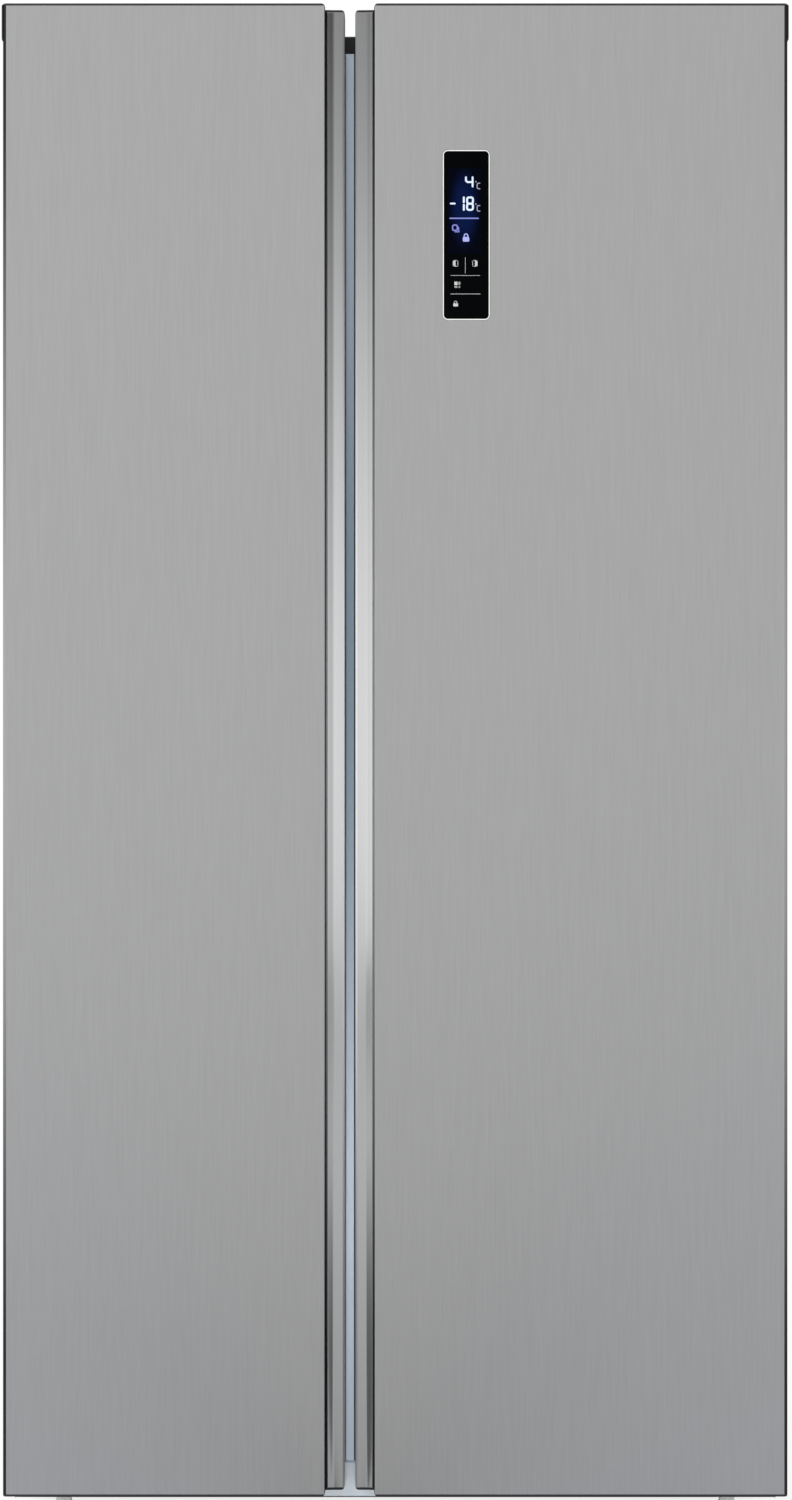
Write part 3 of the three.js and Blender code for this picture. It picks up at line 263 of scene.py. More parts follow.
# ---------------------------------------------------------------- front frame
# A painted strip closes the wall between the two compartments and holds the heater tube behind it. A black
# moulded strip finishes the top edge, and a painted panel hides the base below the doors.
def toward_ends(tree, place, middle, start, end):
    """How far, from 0 to 1, a place lies from a middle height, between two distances in metres."""
    height = add(tree, "ShaderNodeSeparateXYZ", Vector=place).outputs["Z"]
    away = calculate(tree, "ABSOLUTE", calculate(tree, "SUBTRACT", height, middle))
    return ramp(tree, away, start, end, eased=True)


# Blue-grey metallic lacquer on the strip, where it gleams out of the depth between the doors. Painted light
# and shade in its tone make it deepest at half height and paler towards both ends, and two fine dark lines of
# painted shade on it border what shows between the closed doors, where the door edges shade it.
strip_lacquer_and_shade, tree, place = open_finish("blue_grey_metallic_lacquer")
tone = two_tone(tree, toward_ends(tree, place, 1.04, 0.05, 0.75), "8FA2B2", "E3EFFF")
# The two dark lines of painted shade lie 5.6 mm to either side of the middle of the gap.
strip_middle = -52.7 * MM
shade_line_distance = 5.6 * MM
across = add(tree, "ShaderNodeSeparateXYZ", Vector=place).outputs["X"]
from_middle = calculate(tree, "ABSOLUTE", calculate(tree, "ADD", across, -strip_middle))
from_shade_line = calculate(tree, "ABSOLUTE", calculate(tree, "SUBTRACT", from_middle, shade_line_distance))
in_shade_line = ramp(tree, from_shade_line, 0.4 * MM, 1.4 * MM, 1.0, 0.0, eased=True)
close_finish(tree, Base_Color=two_tone(tree, in_shade_line, tone, "2A2C2E"), Metallic=0.6, Roughness=0.25)
strip = dress("mullion_strip", strip_lacquer_and_shade, edge=0.3)
# Pure white gloss paint of the base panel, which lies in the shade of the doors.
white_gloss, tree, place = open_finish("white_gloss_paint")
peel = add(tree, "ShaderNodeTexNoise", Vector=place, Scale=1 / (5 * MM), Detail=2.0, Roughness=0.55)
relief = add(tree, "ShaderNodeBump", Height=peel.outputs["Fac"], Strength=0.1, Distance=0.05 * MM)
close_finish(tree, Base_Color=linear("DFE8F0"), Roughness=0.3, Normal=relief.outputs["Normal"])
base = dress("base_panel", white_gloss, edge=0.5)
# Two lamps light only what lies in the shade of the doors: a low one the strip, the base panel and the feet,
# as the floor of a bright room would, and a tall one straight ahead the strip alone.
for name, tall, watts, stand, aim, lit_pieces in (
        ("low_lamp", 0.3, 6.5, (-0.05, -1.8, 0.16), (-0.05, -0.3, 0.05), (base, strip)),
        ("gap_lamp", 1.5, 10.0, (-0.053, -2.3, 0.75), (-0.053, -0.3, 0.75), (strip,))):
    lamp = soft_lamp(name, 0.3, tall, watts, stand, aim)
    lamp.light_linking.receiver_collection = bpy.data.collections.new("lit_by_" + name)
    for lit_piece in lit_pieces:
        lamp.light_linking.receiver_collection.objects.link(lit_piece)

# Black ABS from a spark-eroded mould: matt, with a grain of small pits. The grain is drawn at 1.6 mm.
black_abs, tree, place = open_finish("spark_eroded_black_abs")
grain = add(tree, "ShaderNodeTexNoise", Vector=place, Scale=1 / (1.6 * MM), Detail=3.0, Roughness=0.6)
tone = two_tone(tree, grain.outputs["Fac"], "1F2020", "2C2D2D")
relief = add(tree, "ShaderNodeBump", Height=grain.outputs["Fac"], Strength=0.25, Distance=0.1 * MM)
close_finish(tree, Base_Color=tone, Roughness=0.52, Normal=relief.outputs["Normal"])
dress("top_trim", black_abs, edge=0.15)

# ---------------------------------------------------------------- back panel
# The back is a zinc-plated sheet with four pressed beads that stiffen it. It is fixed to the wrap with
# hexagon-washer screws along its edges.
# Hot-dip zinc: large dull crystals of slightly different grey, each about 12 mm across.
zinc, tree, place = open_finish("hot_dip_zinc")
crystals = add(tree, "ShaderNodeTexVoronoi", Vector=place, Scale=1 / (12 * MM))
split = add(tree, "ShaderNodeSeparateColor", Color=crystals.outputs["Color"])
tone = two_tone(tree, split.outputs[0], "A2A7AA", "B4B8BA")
rough = ramp(tree, split.outputs[1], 0, 1, 0.36, 0.5)
close_finish(tree, Base_Color=tone, Metallic=1.0, Roughness=rough)
dress("back_panel", zinc, edge=0.4)


def new_tree(name, **sockets):
    """A geometry tree that grows something on the points it is given, with named inputs for its sizes."""
    tree = bpy.data.node_groups.new(name, "GeometryNodeTree")
    tree.is_modifier = True
    tree.interface.new_socket("Geometry", in_out="INPUT", socket_type="NodeSocketGeometry")
    for label, kind in sockets.items():
        tree.interface.new_socket(label.replace("_", " "), in_out="INPUT", socket_type="NodeSocket" + kind)
    tree.interface.new_socket("Geometry", in_out="OUTPUT", socket_type="NodeSocketGeometry")
    return tree, add(tree, "NodeGroupInput").outputs


def grow(name, tree, places, body, slot, **inputs):
    """Runs a geometry tree on (point in mm, facing) places and keeps the result as one mesh on a body."""
    mesh = bpy.data.meshes.new(name)
    mesh.from_pydata([Vector(point) * MM for point, facing in places], [], [])
    facings = mesh.attributes.new("facing", "FLOAT_VECTOR", "POINT")
    for spot, (point, facing) in zip(facings.data, places):
        spot.vector = facing
    made = new_object(name, mesh)
    growing = made.modifiers.new(name, "NODES")
    growing.node_group = tree
    for item in tree.interface.items_tree:
        if item.in_out == "INPUT" and item.name.replace(" ", "_") in inputs:
            growing[item.identifier] = inputs[item.name.replace(" ", "_")]
    graph = bpy.context.evaluated_depsgraph_get()
    grown = bpy.data.meshes.new_from_object(made.evaluated_get(graph), depsgraph=graph)
    made.modifiers.remove(growing)
    made.data = grown
    return attach(made, body)


# A hexagon on a round washer, turned so that its axis follows the facing of its place.
screw_tree, given = new_tree("hexagon_washer_screws", Across_flats="Float", Washer="Float", Finish="Material")
hexagon_radius = calculate(screw_tree, "DIVIDE", given["Across flats"], math.sqrt(3))
washer_radius = calculate(screw_tree, "DIVIDE", given["Washer"], 2.0)
hexagon = add(screw_tree, "GeometryNodeMeshCylinder", Vertices=6, Radius=hexagon_radius, Depth=4 * MM)
hexagon_up = add(screw_tree, "GeometryNodeTransform", Geometry=hexagon.outputs["Mesh"],
                 Translation=(0, 0, 1 * MM))
washer = add(screw_tree, "GeometryNodeMeshCylinder", Vertices=20, Radius=washer_radius, Depth=1 * MM)
head = add(screw_tree, "GeometryNodeJoinGeometry")
screw_tree.links.new(hexagon_up.outputs[0], head.inputs[0])
screw_tree.links.new(washer.outputs["Mesh"], head.inputs[0])
facing = add(screw_tree, "GeometryNodeInputNamedAttribute", data_type="FLOAT_VECTOR", Name="facing")
turn = add(screw_tree, "FunctionNodeAlignRotationToVector", axis="Z", Vector=facing.outputs["Attribute"])
placed = add(screw_tree, "GeometryNodeInstanceOnPoints", Points=given["Geometry"], Instance=head.outputs[0],
             Rotation=turn.outputs[0])
real = add(screw_tree, "GeometryNodeRealizeInstances", Geometry=placed.outputs[0])
done = add(screw_tree, "GeometryNodeSetMaterial", Geometry=real.outputs[0], Material=given["Finish"])
add(screw_tree, "NodeGroupOutput", Geometry=done.outputs[0])

bead = 4.0
back_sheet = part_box("back_panel")[1].y / MM - bead
edge_screws = [(x, z) for x in (-425, 425) for z in (330, 670, 1010, 1350, 1690)]
edge_screws += [(x, z) for x in (-220, 0, 220) for z in (310, 1708)]
back_screws = [((x, back_sheet + 0.5, z), (0, 1, 0)) for x, z in edge_screws]
grow("back_panel_screws", screw_tree, back_screws, "cabinet", "zinc_steel",
     Across_flats=7 * MM, Washer=12 * MM, Finish=zinc)

# ---------------------------------------------------------------- machine compartment
# A galvanised base carries the compressor on rubber grommets, the condenser and its fan. Behind them stands a
# louvred cover that leaves the air through.
dress("base_pan", zinc, edge=0.3)

# Stoved black enamel on pressed steel: deep black and half glossy, slightly wavy from dipping.
black_enamel, tree, place = open_finish("stoved_black_enamel")
dip = add(tree, "ShaderNodeTexNoise", Vector=place, Scale=1 / (18 * MM), Detail=2.0)
rough = ramp(tree, dip.outputs["Fac"], 0, 1, 0.22, 0.36)
relief = add(tree, "ShaderNodeBump", Height=dip.outputs["Fac"], Strength=0.2, Distance=0.3 * MM)
close_finish(tree, Base_Color=linear("1B1C1D"), Roughness=rough, Normal=relief.outputs["Normal"])
dress("compressor", black_enamel, edge=1.0)
dress("condenser_coil", black_enamel, edge=0)
dress("condenser_fan", black_abs, edge=0.3)
dress("compressor_cover", black_abs, edge=0.5)

# Drawn copper tube, tarnished a little by handling: warm, with darker clouds.
copper, tree, place = open_finish("drawn_copper")
clouds = add(tree, "ShaderNodeTexNoise", Vector=place, Scale=1 / (25 * MM), Detail=4.0)
tone = two_tone(tree, clouds.outputs["Fac"], "8C5234", "D08A62")
close_finish(tree, Base_Color=tone, Metallic=1.0, Roughness=0.32)


def pipe(name, corners, radius, finish, body):
    """A tube bent smoothly through corners in mm."""
    curve = bpy.data.curves.new(name, "CURVE")
    curve.dimensions = "3D"
    curve.bevel_depth = radius * MM
    curve.bevel_resolution = 3
    curve.resolution_u = 6
    curve.use_fill_caps = True
    line = curve.splines.new("BEZIER")
    line.bezier_points.add(len(corners) - 1)
    for knot, corner in zip(line.bezier_points, corners):
        knot.co = Vector(corner) * MM
        knot.handle_left_type = knot.handle_right_type = "AUTO"
    drawn = bpy.data.objects.new(name, curve)
    scene.collection.objects.link(drawn)
    mesh = bpy.data.meshes.new_from_object(drawn)
    bpy.data.objects.remove(drawn)
    for side in mesh.polygons:
        side.use_smooth = True
    return attach(new_object(name, mesh, finish), body)


discharge = [(-295, 256, 232), (-293, 262, 250), (-240, 280, 262), (-120, 286, 262), (60, 286, 255),
             (118, 240, 232), (126, 213, 212)]
pipe("discharge_pipe", discharge, 3.2, copper, "cabinet")
suction = [(-301, 201, 232), (-304, 196, 250), (-330, 200, 266), (-375, 230, 270), (-392, 262, 262),
           (-395, 280, 200), (-395, 280, 120)]
pipe("suction_pipe", suction, 4.0, copper, "cabinet")

# ---------------------------------------------------------------- foam and evaporator
# Rigid foam fills the walls between steel and liner, and a finned evaporator hangs behind the freezer's rear
# cover. Neither shows when the refrigerator is whole.
# Poured polyurethane foam: cream, matt and full of 2 mm cells.
foam, tree, place = open_finish("poured_polyurethane_foam")
cells = add(tree, "ShaderNodeTexVoronoi", Vector=place, Scale=1 / (2 * MM))
tone = two_tone(tree, cells.outputs["Distance"], "E8DDB4", "CDBE8C")
close_finish(tree, Base_Color=tone, Roughness=0.95)
# Rolled aluminium fin stock: bright, with fine rolling lines across the fins.
fin_stock, tree, place = open_finish("rolled_aluminium")
rolled = add(tree, "ShaderNodeMapping", Vector=place, Scale=(50, 50, 900))
lines = add(tree, "ShaderNodeTexNoise", Vector=rolled.outputs[0], Scale=1.0, Detail=2.0)
rough = ramp(tree, lines.outputs["Fac"], 0, 1, 0.25, 0.4)
close_finish(tree, Base_Color=linear("C9CCCD"), Metallic=1.0, Roughness=rough)
for name, finish in (("cabinet_insulation", foam), ("freezer_door_foam", foam), ("fridge_door_foam", foam),
                     ("evaporator", fin_stock)):
    mesh = frame["nodes"][name].data
    mesh.materials.clear()
    mesh.materials.append(finish)

# ---------------------------------------------------------------- liners
# Each compartment is lined with one sheet of polystyrene drawn over a mould, with moulded rails for the glass
# shelves and the drawers. A light bar is set into each ceiling.
# Vacuum-formed high impact polystyrene: white, glossy, and slightly wavy where the sheet was stretched. The
# waves are about 45 mm long.
liner_white, tree, place = open_finish("vacuum_formed_polystyrene")
wave = add(tree, "ShaderNodeTexNoise", Vector=place, Scale=1 / (45 * MM), Detail=1.0)
fine = add(tree, "ShaderNodeTexNoise", Vector=place, Scale=1 / (2.5 * MM), Detail=2.0)
rough = ramp(tree, fine.outputs["Fac"], 0, 1, 0.2, 0.32)
relief = add(tree, "ShaderNodeBump", Height=wave.outputs["Fac"], Strength=0.25, Distance=1.0 * MM)
close_finish(tree, Base_Color=linear("E9ECEE"), Roughness=rough, Normal=relief.outputs["Normal"])
for room in ("freezer", "fridge"):
    dress(f"{room}_liner", liner_white, edge=0.6)
    dress(f"{room}_duct_cover", liner_white, edge=0.5)
dress("evaporator_fan", liner_white, edge=0.3)

# Frosted acrylic over a row of white diodes: an even cool glow.
lamp_lens, tree, place = open_finish("frosted_acrylic_light_bar")
close_finish(tree, Base_Color=linear("F4F7FA"), Roughness=0.6, Emission_Color=linear("F2F7FF"),
             Emission_Strength=2.2)


def bar(name, low, high, finish, body, edge=0.8):
    """A moulded bar between two corners in mm with its long edges rounded."""
    shape = bmesh.new()
    bmesh.ops.create_cube(shape, size=1.0)
    low, high = Vector(low), Vector(high)
    for corner in shape.verts:
        corner.co = Vector(((corner.co[i] + 0.5) * (high[i] - low[i]) + low[i]) * MM for i in range(3))
    bmesh.ops.bevel(shape, geom=shape.edges, offset=edge * MM, segments=3, profile=0.5, affect="EDGES")
    for side in shape.faces:
        side.smooth = True
    mesh = bpy.data.meshes.new(name)
    shape.to_mesh(mesh)
    shape.free()
    made = new_object(name, mesh, finish)
    made.modifiers.new("true_flats", "WEIGHTED_NORMAL").keep_sharp = True
    return attach(made, body)


for room, middle in (("freezer", -240), ("fridge", 188)):
    bar(f"{room}_light_bar", (middle - 90, -176, 1664), (middle + 90, -140, 1669.4), lamp_lens, "cabinet",
        2.0)

# ---------------------------------------------------------------- air outlets
# Small upright ribs keep food out of the air slots in the rear covers. They are moulded with the cover.
rib_tree, given = new_tree("grille_ribs", Count="Int", Pitch="Float", Rib="Vector", Finish="Material")
line = add(rib_tree, "GeometryNodeMeshLine", Count=given["Count"],
           Offset=add(rib_tree, "ShaderNodeCombineXYZ", X=given["Pitch"]).outputs[0])
rib = add(rib_tree, "GeometryNodeMeshCube", Size=given["Rib"])
row = add(rib_tree, "GeometryNodeInstanceOnPoints", Points=line.outputs[0], Instance=rib.outputs[0])
rows = add(rib_tree, "GeometryNodeInstanceOnPoints", Points=given["Geometry"], Instance=row.outputs[0])
real = add(rib_tree, "GeometryNodeRealizeInstances", Geometry=rows.outputs[0])
done = add(rib_tree, "GeometryNodeSetMaterial", Geometry=real.outputs[0], Material=given["Finish"])
add(rib_tree, "NodeGroupOutput", Geometry=done.outputs[0])
for room, middle, rear in (("freezer", -240, 195), ("fridge", 188, 243)):
    heights = [z + dz for z in (930, 1210, 1490) for dz in (-13, 0, 13)]
    starts = [((middle - 54, rear + 0.4, z), (0, -1, 0)) for z in heights]
    grow(f"{room}_outlet_ribs", rib_tree, starts, "cabinet", "white_plastic",
         Count=10, Pitch=12 * MM, Rib=(1.4 * MM, 3.4 * MM, 7.2 * MM), Finish=liner_white)

# ---------------------------------------------------------------- glass shelves
# Each shelf is a plate of toughened glass, held in a milky moulded bumper along the front and a stop at the
# back.
# Toughened float glass: clear, with a green cast in its thickness and polished faces.
float_glass, tree, place = open_finish("toughened_float_glass")
close_finish(tree, Base_Color=linear("E6F3EF"), Roughness=0.02, IOR=1.52, Transmission_Weight=1.0)
# Injection moulded polystyrene, milky white: it edges the glass.
milky, tree, place = open_finish("milky_moulded_polystyrene")
flow = add(tree, "ShaderNodeTexNoise", Vector=place, Scale=1 / (30 * MM), Detail=2.0)
rough = ramp(tree, flow.outputs["Fac"], 0, 1, 0.22, 0.34)
close_finish(tree, Base_Color=linear("DDE4E8"), Roughness=rough, Subsurface_Weight=0.15,
             Subsurface_Radius=(0.004, 0.004, 0.004), Subsurface_Scale=1.0)
shelves = [f"{room}_shelf_{i}" for room in ("freezer", "fridge") for i in (1, 2, 3)] + ["fridge_drawer_lid"]
for name in shelves:
    front, rear = [corner.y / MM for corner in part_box(name)]
    dress(name, float_glass, 0.3, [(milky, lambda at, n, a=front, b=rear: at.y < a + 15.5 or at.y > b - 12)])

# ---------------------------------------------------------------- drawers
# Two drawers slide on the rails at the foot of each compartment. Each is one clear moulding with a hooked
# pull along its front.
# General purpose polystyrene, injection moulded: water clear with a cool cast and small flow lines.
clear_ps, tree, place = open_finish("clear_moulded_polystyrene")
flow = add(tree, "ShaderNodeTexNoise", Vector=place, Scale=1 / (40 * MM), Detail=2.0)
rough = ramp(tree, flow.outputs["Fac"], 0, 1, 0.05, 0.12)
close_finish(tree, Base_Color=linear("E3EDF3"), Roughness=rough, IOR=1.59, Transmission_Weight=0.88)
for room in ("freezer", "fridge"):
    for row in ("lower", "upper"):
        dress(f"{room}_drawer_{row}", clear_ps, 0.5, [(milky, lambda at, n: at.y < -179.5)])

# ---------------------------------------------------------------- hinges
# The doors hang on pressed steel arms, zinc plated, screwed to the top and the foot of the cabinet. A black
# moulded cover hides each upper arm.
for label in ("left", "right"):
    dress(f"upper_hinge_{label}", zinc, edge=0.4)
    dress(f"lower_hinge_{label}", zinc, edge=0.4)
    dress(f"hinge_cover_{label}", black_abs, edge=0.6)
    low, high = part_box(f"lower_hinge_{label}")
    plate_front = high.y / MM - 2.5
    places = [((x / MM, plate_front - 0.5, 38), (0, -1, 0)) for x in (low.x + 0.0065, high.x - 0.0065)]
    grow(f"lower_hinge_{label}_screws", screw_tree, places, "cabinet", "zinc_steel",
         Across_flats=6 * MM, Washer=9 * MM, Finish=zinc)

# ---------------------------------------------------------------- door skins and grip profiles
# Each door is faced with one sheet of brushed stainless steel, folded back at its edges. Beside it an
# aluminium profile steps back and forms the groove for the fingers.
# Stainless steel, ground with a belt along the height of the door and sealed with clear lacquer: upright
# grain. The lines are drawn 1.6 mm wide and 70 mm long; the real ones are a few hundredths of that width.
brushed, tree, place = open_finish("brushed_stainless_steel")
along = add(tree, "ShaderNodeMapping", Vector=place, Scale=(1 / (1.6 * MM), 1 / (1.6 * MM), 1 / (70 * MM)))
grain = add(tree, "ShaderNodeTexNoise", Vector=along.outputs[0], Scale=1.0, Detail=4.0, Roughness=0.65)
tone = two_tone(tree, grain.outputs["Fac"], "BBBBBB", "CECECF")
rough = ramp(tree, grain.outputs["Fac"], 0, 1, 0.42, 0.52)
relief = add(tree, "ShaderNodeBump", Height=grain.outputs["Fac"], Strength=0.06, Distance=0.05 * MM)
close_finish(tree, Base_Color=tone, Metallic=0.7, Roughness=rough, Normal=relief.outputs["Normal"])
# Painted light and shade on the folded edges of the steel and on both bends of the profile: palest at half
# height and dark at both ends. The graphite one is painted shade on the inner side and the outer bend of each
# steel sheet, and the two silver ones edge the groove: the rim with a fine painted glint, the nose with a
# line of painted light at half height and painted shade towards its ends.
painted_edge_finishes = []
for name, at_middle, at_ends in (("graphite_edge_lacquer", "A2A2A2", "262729"),
                                 ("silver_rim_lacquer", "F6F6F6", "8E8E8E"),
                                 ("silver_nose_lacquer", "DCDCDC", "3C3C3E")):
    finish, tree, place = open_finish(name)
    tone = two_tone(tree, toward_ends(tree, place, 0.93, 0.05, 0.75), at_middle, at_ends)
    close_finish(tree, Base_Color=tone, Roughness=0.6, Specular_IOR_Level=0.2)
    painted_edge_finishes.append(finish)
edge_painted_shade, rim_painted_glint, nose_painted_light_and_shade = painted_edge_finishes
# Aluminium, extruded, polished and clear anodised: smooth and bright with faint lines from the die. The flat
# next to the steel face is polished further and darker, as the wheel reaches the hollow from one side only.
along_scale = (1 / (1.5 * MM), 1 / (1.5 * MM), 1 / (900 * MM))
grip_finishes = []
for name, tone, sharpest, dullest in (("clear_anodised_aluminium", "DBDCDD", 0.12, 0.18),
                                      ("polished_anodised_aluminium", "DADBDC", 0.08, 0.12)):
    finish, tree, place = open_finish(name)
    along = add(tree, "ShaderNodeMapping", Vector=place, Scale=along_scale)
    die = add(tree, "ShaderNodeTexNoise", Vector=along.outputs[0], Scale=1.0, Detail=3.0)
    rough = ramp(tree, die.outputs["Fac"], 0, 1, sharpest, dullest)
    close_finish(tree, Base_Color=linear(tone), Metallic=1.0, Roughness=rough)
    grip_finishes.append(finish)
anodised, polished = grip_finishes
# Glass-filled polypropylene of the end caps: dark grey and matt.
cap_plastic, tree, place = open_finish("glass_filled_polypropylene")
grain = add(tree, "ShaderNodeTexNoise", Vector=place, Scale=1 / (1.8 * MM), Detail=3.0)
tone = two_tone(tree, grain.outputs["Fac"], "2E2F31", "3A3B3D")
relief = add(tree, "ShaderNodeBump", Height=grain.outputs["Fac"], Strength=0.2, Distance=0.1 * MM)
close_finish(tree, Base_Color=tone, Roughness=0.55, Normal=relief.outputs["Normal"])
# Depths in mm at which the bend of the sheet and the visible strip of the profile end.
bend_start = -345
strip_rear = -319
for door in ("freezer_door", "fridge_door"):
    inward = 1 if door == "freezer_door" else -1
    # Painted shade goes on the inner side and outer bend of the sheet, a painted glint on the rim of the
    # profile and painted light and shade on its nose.
    dress(f"{door}_skin", brushed, 0.5,
          [(edge_painted_shade, lambda at, n, s=inward: n.x * s > 0.75 or n.x * s < -0.15 and at.y < bend_start)])
    dress(f"{door}_grip", anodised, 0.8,
          [(polished, lambda at, n: 0.03 < abs(n.x) < 0.12 and n.y < 0 and at.y < strip_rear - 1),
           (rim_painted_glint, lambda at, n, s=inward: 0.12 < n.x * s < 0.9 and at.y < strip_rear),
           (nose_painted_light_and_shade, lambda at, n, s=inward: 0.12 < -n.x * s < 0.9 and at.y < strip_rear)])
    for end in ("top", "bottom"):
        dress(f"{door}_{end}_cap", cap_plastic, edge=0.2)

# ---------------------------------------------------------------- door liners and bins
# The inner side of each door is a formed white sheet with two upright ribs, between which the bins hang.
for door, bins in (("freezer_door", 3), ("fridge_door", 4)):
    dress(f"{door}_liner", liner_white, edge=0.6)
    for i in range(bins):
        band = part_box(f"{door}_bin_{i + 1}")[0].z / MM + 65
        dress(f"{door}_bin_{i + 1}", clear_ps, 0.5, [(milky, lambda at, n, above=band: at.z > above)])

# ---------------------------------------------------------------- door seals
# A magnetic seal runs round each door: a foot pressed into the liner, a bellows of two folds and a flat face
# with the magnet, all one extrusion of soft PVC welded at the corners.
# Plasticised PVC: mid grey, matt and slightly waxy.
soft_pvc, tree, place = open_finish("plasticised_pvc")
wax = add(tree, "ShaderNodeTexNoise", Vector=place, Scale=1 / (8 * MM), Detail=2.0)
tone = two_tone(tree, wax.outputs["Fac"], "5A5E61", "686C6F")
close_finish(tree, Base_Color=tone, Roughness=0.6)
for door in ("freezer_door", "fridge_door"):
    dress(f"{door}_gasket", soft_pvc, edge=0.5)

# ---------------------------------------------------------------- control panel
# A black glass with rounded corners is set into the fridge door in a pale frame. Behind it a display shows
# the two temperatures, and the keys below are printed on its back. The glass is opaque here, so all its signs
# are drawn a few hundredths of a millimetre in front of its face.
# Back-printed glass with an anti-reflection coat: black and smooth.
black_glass, tree, place = open_finish("back_printed_glass")
print_coat = add(tree, "ShaderNodeTexNoise", Vector=place, Scale=1 / (60 * MM), Detail=1.0)
rough = ramp(tree, print_coat.outputs["Fac"], 0, 1, 0.05, 0.09)
close_finish(tree, Base_Color=linear("030405"), Roughness=rough, Specular_IOR_Level=0.03)
# Pale acrylic of the bezel round the glass: its outer millimetre takes light and looks white on the grey
# steel, and the rest is black where the print of the glass runs on under it.
bezel_acrylic, tree, place = open_finish("pale_acrylic")
panel_low, panel_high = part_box("control_panel")
half = (panel_high - panel_low) / 2
bezel_corner = 5.9 * MM
from_middle = add(tree, "ShaderNodeVectorMath", operation="SUBTRACT", _0=place, _1=panel_low + half)
folded = add(tree, "ShaderNodeVectorMath", operation="ABSOLUTE", _0=from_middle.outputs[0])
past_corner = add(tree, "ShaderNodeVectorMath", operation="SUBTRACT", _0=folded.outputs[0],
                  _1=(half.x - bezel_corner, 1.0, half.z - bezel_corner))
outward = add(tree, "ShaderNodeVectorMath", operation="MAXIMUM", _0=past_corner.outputs[0], _1=(0, 0, 0))
reach = add(tree, "ShaderNodeVectorMath", operation="LENGTH", _0=outward.outputs[0])
pale = ramp(tree, reach.outputs["Value"], bezel_corner - 1.3 * MM, bezel_corner - 1.1 * MM)
tone = two_tone(tree, pale, "050606", "FAFAF8")
close_finish(tree, Base_Color=tone, Roughness=0.25, Specular_IOR_Level=0.1)
dress("control_panel", black_glass, 0.15,
      [(bezel_acrylic, lambda at, n: at.y < -352.9 or abs(n.y) < 0.7 and at.y > -352.5)])
bezel = 1.9
glass_left = panel_low.x / MM + bezel - 0.8
glass_top = panel_high.z / MM - bezel + 1.2
glass_front = panel_low.y / MM + 0.15
field_lift = 0.02
mark_lift = 0.08


def on_glass(across, down, lift):
    """A point on the glass, in mm from its upper left corner and in front of its face."""
    return Vector((glass_left + across, glass_front - lift, glass_top - down)) * MM


def rounded(low, high, radius, steps=6):
    """The corners of a rounded rectangle, running clockwise as seen from the front."""
    middles = [(high[0] - radius, low[1] + radius), (high[0] - radius, high[1] - radius),
               (low[0] + radius, high[1] - radius), (low[0] + radius, low[1] + radius)]
    quarter = math.pi / 2
    turns = [(x, y, quarter * (i + k / steps)) for i, (x, y) in enumerate(middles) for k in range(steps + 1)]
    return [(x + radius * math.sin(a), y - radius * math.cos(a)) for x, y, a in turns]


def stroke(shape, points, width, closed=False, lift=mark_lift):
    """A flat stroke with round ends and joints through points on the glass."""
    ends = list(points) + ([points[0]] if closed else [])
    for (x0, y0), (x1, y1) in zip(ends, ends[1:]):
        along = Vector((x1 - x0, y1 - y0)).normalized() * width / 2
        corners = [(x0 - along.y, y0 + along.x), (x1 - along.y, y1 + along.x),
                   (x1 + along.y, y1 - along.x), (x0 + along.y, y0 - along.x)]
        shape.faces.new([shape.verts.new(on_glass(x, y, lift)) for x, y in corners])
    for x, y in points:
        turn = [2 * math.pi * k / 12 for k in range(12)]
        disc = [on_glass(x + width / 2 * math.cos(a), y + width / 2 * math.sin(a), lift) for a in turn]
        shape.faces.new([shape.verts.new(corner) for corner in disc])


def patch(shape, corners, lift=mark_lift):
    """A flat area between corners on the glass."""
    shape.faces.new([shape.verts.new(on_glass(x, y, lift)) for x, y in corners])


def marks(name, shape, finish):
    """Turns drawn marks into one piece that faces the front."""
    for side in shape.faces:
        if side.normal.y > 0 or (side.normal_update() or side.normal.y > 0):
            side.normal_flip()
    mesh = bpy.data.meshes.new(name)
    shape.to_mesh(mesh)
    shape.free()
    return attach(new_object(name, mesh, finish), "fridge_door")


def glowing(name, colour, strength):
    """The finish of lit signs, which shine through the glass."""
    finish, tree, place = open_finish(name)
    close_finish(tree, Base_Color=linear("000000"), Roughness=0.3, Emission_Color=linear(colour),
                 Emission_Strength=strength)
    return finish


# The lit field of the display: blue light that fades out towards its edges.
field_light, tree, place = open_finish("display_backlight")
middle = on_glass(23.5, 66, 0)
half_wide, half_tall = 19 * MM, 50 * MM
centred = add(tree, "ShaderNodeMapping", Vector=place, Scale=(1 / half_wide, 0, 1 / half_tall),
              Location=(-middle.x / half_wide, 0, -middle.z / half_tall))
away = add(tree, "ShaderNodeVectorMath", operation="LENGTH", _0=centred.outputs[0])
close_finish(tree, Base_Color=linear("020308"), Roughness=0.08, Specular_IOR_Level=0.03,
             Emission_Color=linear("061640"),
             Emission_Strength=ramp(tree, away.outputs["Value"], 0.3, 1.05, 1.0, 0.05, eased=True))
field = bmesh.new()
patch(field, rounded((4.6, 19.5), (43.4, 118), 3), field_lift)
marks("display_field", field, field_light)

digits = bmesh.new()
stroke(digits, [(25.4, 30.5), (25.4, 34.2), (27.1, 35.9), (33.0, 35.9)], 2.1)
stroke(digits, [(33.0, 30.5), (33.0, 40.9)], 2.1)
stroke(digits, [(8.2, 60.4), (12.6, 60.4)], 2.0)
stroke(digits, [(23.0, 53.4), (23.0, 58.9)], 2.2)
stroke(digits, [(23.0, 61.9), (23.0, 67.5)], 2.2)
for top in (53.4, 60.6):
    stroke(digits, rounded((26.7, top), (33.4, top + 7.0), 1.9, 2), 2.2, closed=True)
marks("display_digits", digits, glowing("white_display_light", "DCEAFF", 1.1))

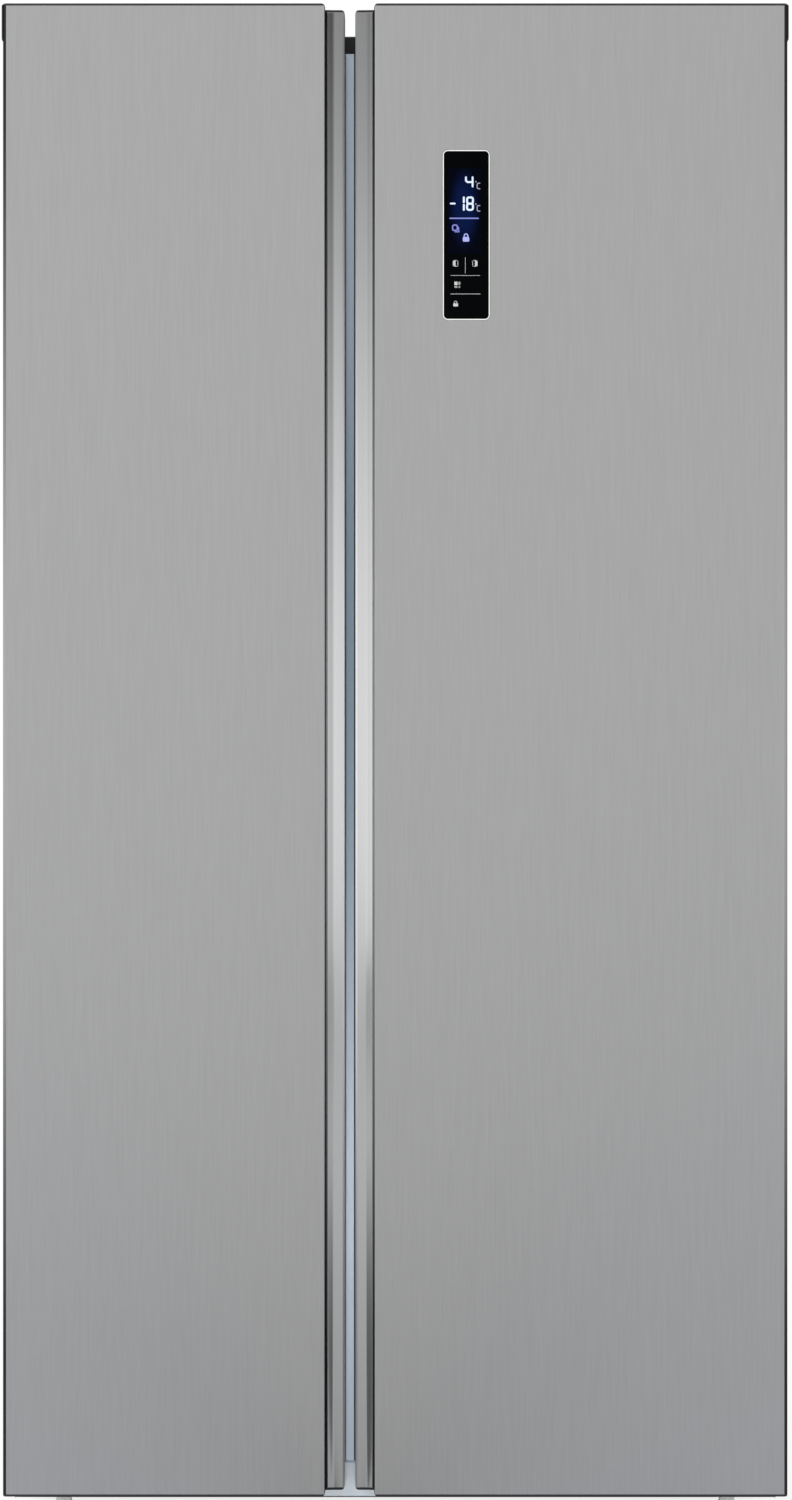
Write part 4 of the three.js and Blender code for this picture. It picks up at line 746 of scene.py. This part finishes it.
units = bmesh.new()
for top in (34.6, 60.1):
    ring = [(36.7 + 0.6 * math.cos(a), top + 0.9 + 0.6 * math.sin(a)) for a in (0, 1.57, 3.14, 4.71)]
    stroke(units, ring, 0.6, closed=True)
    letter = [(41.2, top + 2.6), (39.2, top + 2.6), (38.2, top + 3.6), (38.2, top + 7.8), (39.2, top + 8.9),
              (41.3, top + 8.9)]
    stroke(units, letter, 1.0)
marks("display_units", units, glowing("pale_display_light", "A9ADC0", 1.0))

symbols = bmesh.new()
stroke(symbols, [(7.2, 77.2), (39.4, 77.2)], 1.4)
stroke(symbols, rounded((10.2, 84.9), (15.6, 91.0), 1.6, 2), 1.4, closed=True)
stroke(symbols, [(16.9, 87.5), (17.4, 92.6), (13.0, 92.6)], 1.1)
marks("display_symbols", symbols, glowing("violet_display_light", "8C90E2", 1.0))
lock = bmesh.new()
patch(lock, rounded((21.8, 98.4), (29.2, 103.8), 1.2, 2))
bow = [(23.3, 98.6), (23.5, 96.6), (24.4, 95.3), (25.5, 95.0), (26.6, 95.3), (27.5, 96.6), (27.7, 98.6)]
stroke(lock, bow, 1.3)
marks("display_lock", lock, glowing("pale_violet_display_light", "B2B8F4", 1.0))

# The keys: pale print on the back of the glass.
key_print, tree, place = open_finish("screen_printed_ink")
close_finish(tree, Base_Color=linear("CCCCCC"), Roughness=0.5, Specular_IOR_Level=0.1)
keys = bmesh.new()
for low, high in (((10.8, 125.2), (16.2, 131.9)), ((33.0, 125.2), (38.4, 131.9))):
    stroke(keys, rounded(low, high, 1.0, 2), 0.6, closed=True)
patch(keys, [(11.0, 125.4), (13.6, 125.4), (13.6, 131.7), (11.0, 131.7)])
patch(keys, [(35.7, 125.4), (38.2, 125.4), (38.2, 131.7), (35.7, 131.7)])
stroke(keys, [(24.7, 121.8), (24.7, 139.8)], 0.4)
stroke(keys, [(7.8, 142.4), (41.4, 142.4)], 0.4)
stroke(keys, [(7.8, 163.4), (41.8, 163.4)], 0.5)
patch(keys, [(12.2, 149.4), (15.8, 149.4), (15.8, 153.4), (12.2, 153.4)])
stroke(keys, [(17.3, 149.8), (18.5, 149.8), (18.5, 152.8), (17.3, 152.8)], 0.7, closed=True)
stroke(keys, [(12.5, 154.8), (15.4, 154.8), (15.4, 156.2), (12.5, 156.2)], 0.6, closed=True)
stroke(keys, [(17.3, 154.8), (18.5, 154.8), (18.5, 156.2), (17.3, 156.2)], 0.6, closed=True)
patch(keys, rounded((10.9, 174.0), (16.4, 177.6), 0.6, 2))
stroke(keys, [(12.0, 174.0), (12.2, 172.4), (13.6, 171.4), (15.0, 172.4), (15.2, 174.0)], 0.9)
marks("key_symbols", keys, key_print)

# ---------------------------------------------------------------- feet and rollers
# The refrigerator stands on two levelling feet at the front and two rollers at the back.
# Black nylon of the rollers: matt with a fine tooth.
tyre, tree, place = open_finish("black_nylon")
tooth = add(tree, "ShaderNodeTexNoise", Vector=place, Scale=1 / (1.5 * MM), Detail=3.0)
relief = add(tree, "ShaderNodeBump", Height=tooth.outputs["Fac"], Strength=0.3, Distance=0.1 * MM)
close_finish(tree, Base_Color=linear("242424"), Roughness=0.6, Normal=relief.outputs["Normal"])
# Natural polypropylene of the feet: milky white and satin. The low lamp lights them too.
foot_plastic, tree, place = open_finish("natural_polypropylene")
milk = add(tree, "ShaderNodeTexNoise", Vector=place, Scale=1 / (6 * MM), Detail=2.0)
tone = two_tone(tree, milk.outputs["Fac"], "F0F0EE", "F8F8F6")
close_finish(tree, Base_Color=tone, Roughness=0.45)
for label in ("left", "right"):
    foot = dress(f"front_foot_{label}", foot_plastic, edge=0.4)
    bpy.data.collections["lit_by_low_lamp"].objects.link(foot)
    dress(f"rear_roller_{label}", tyre, edge=0.5)
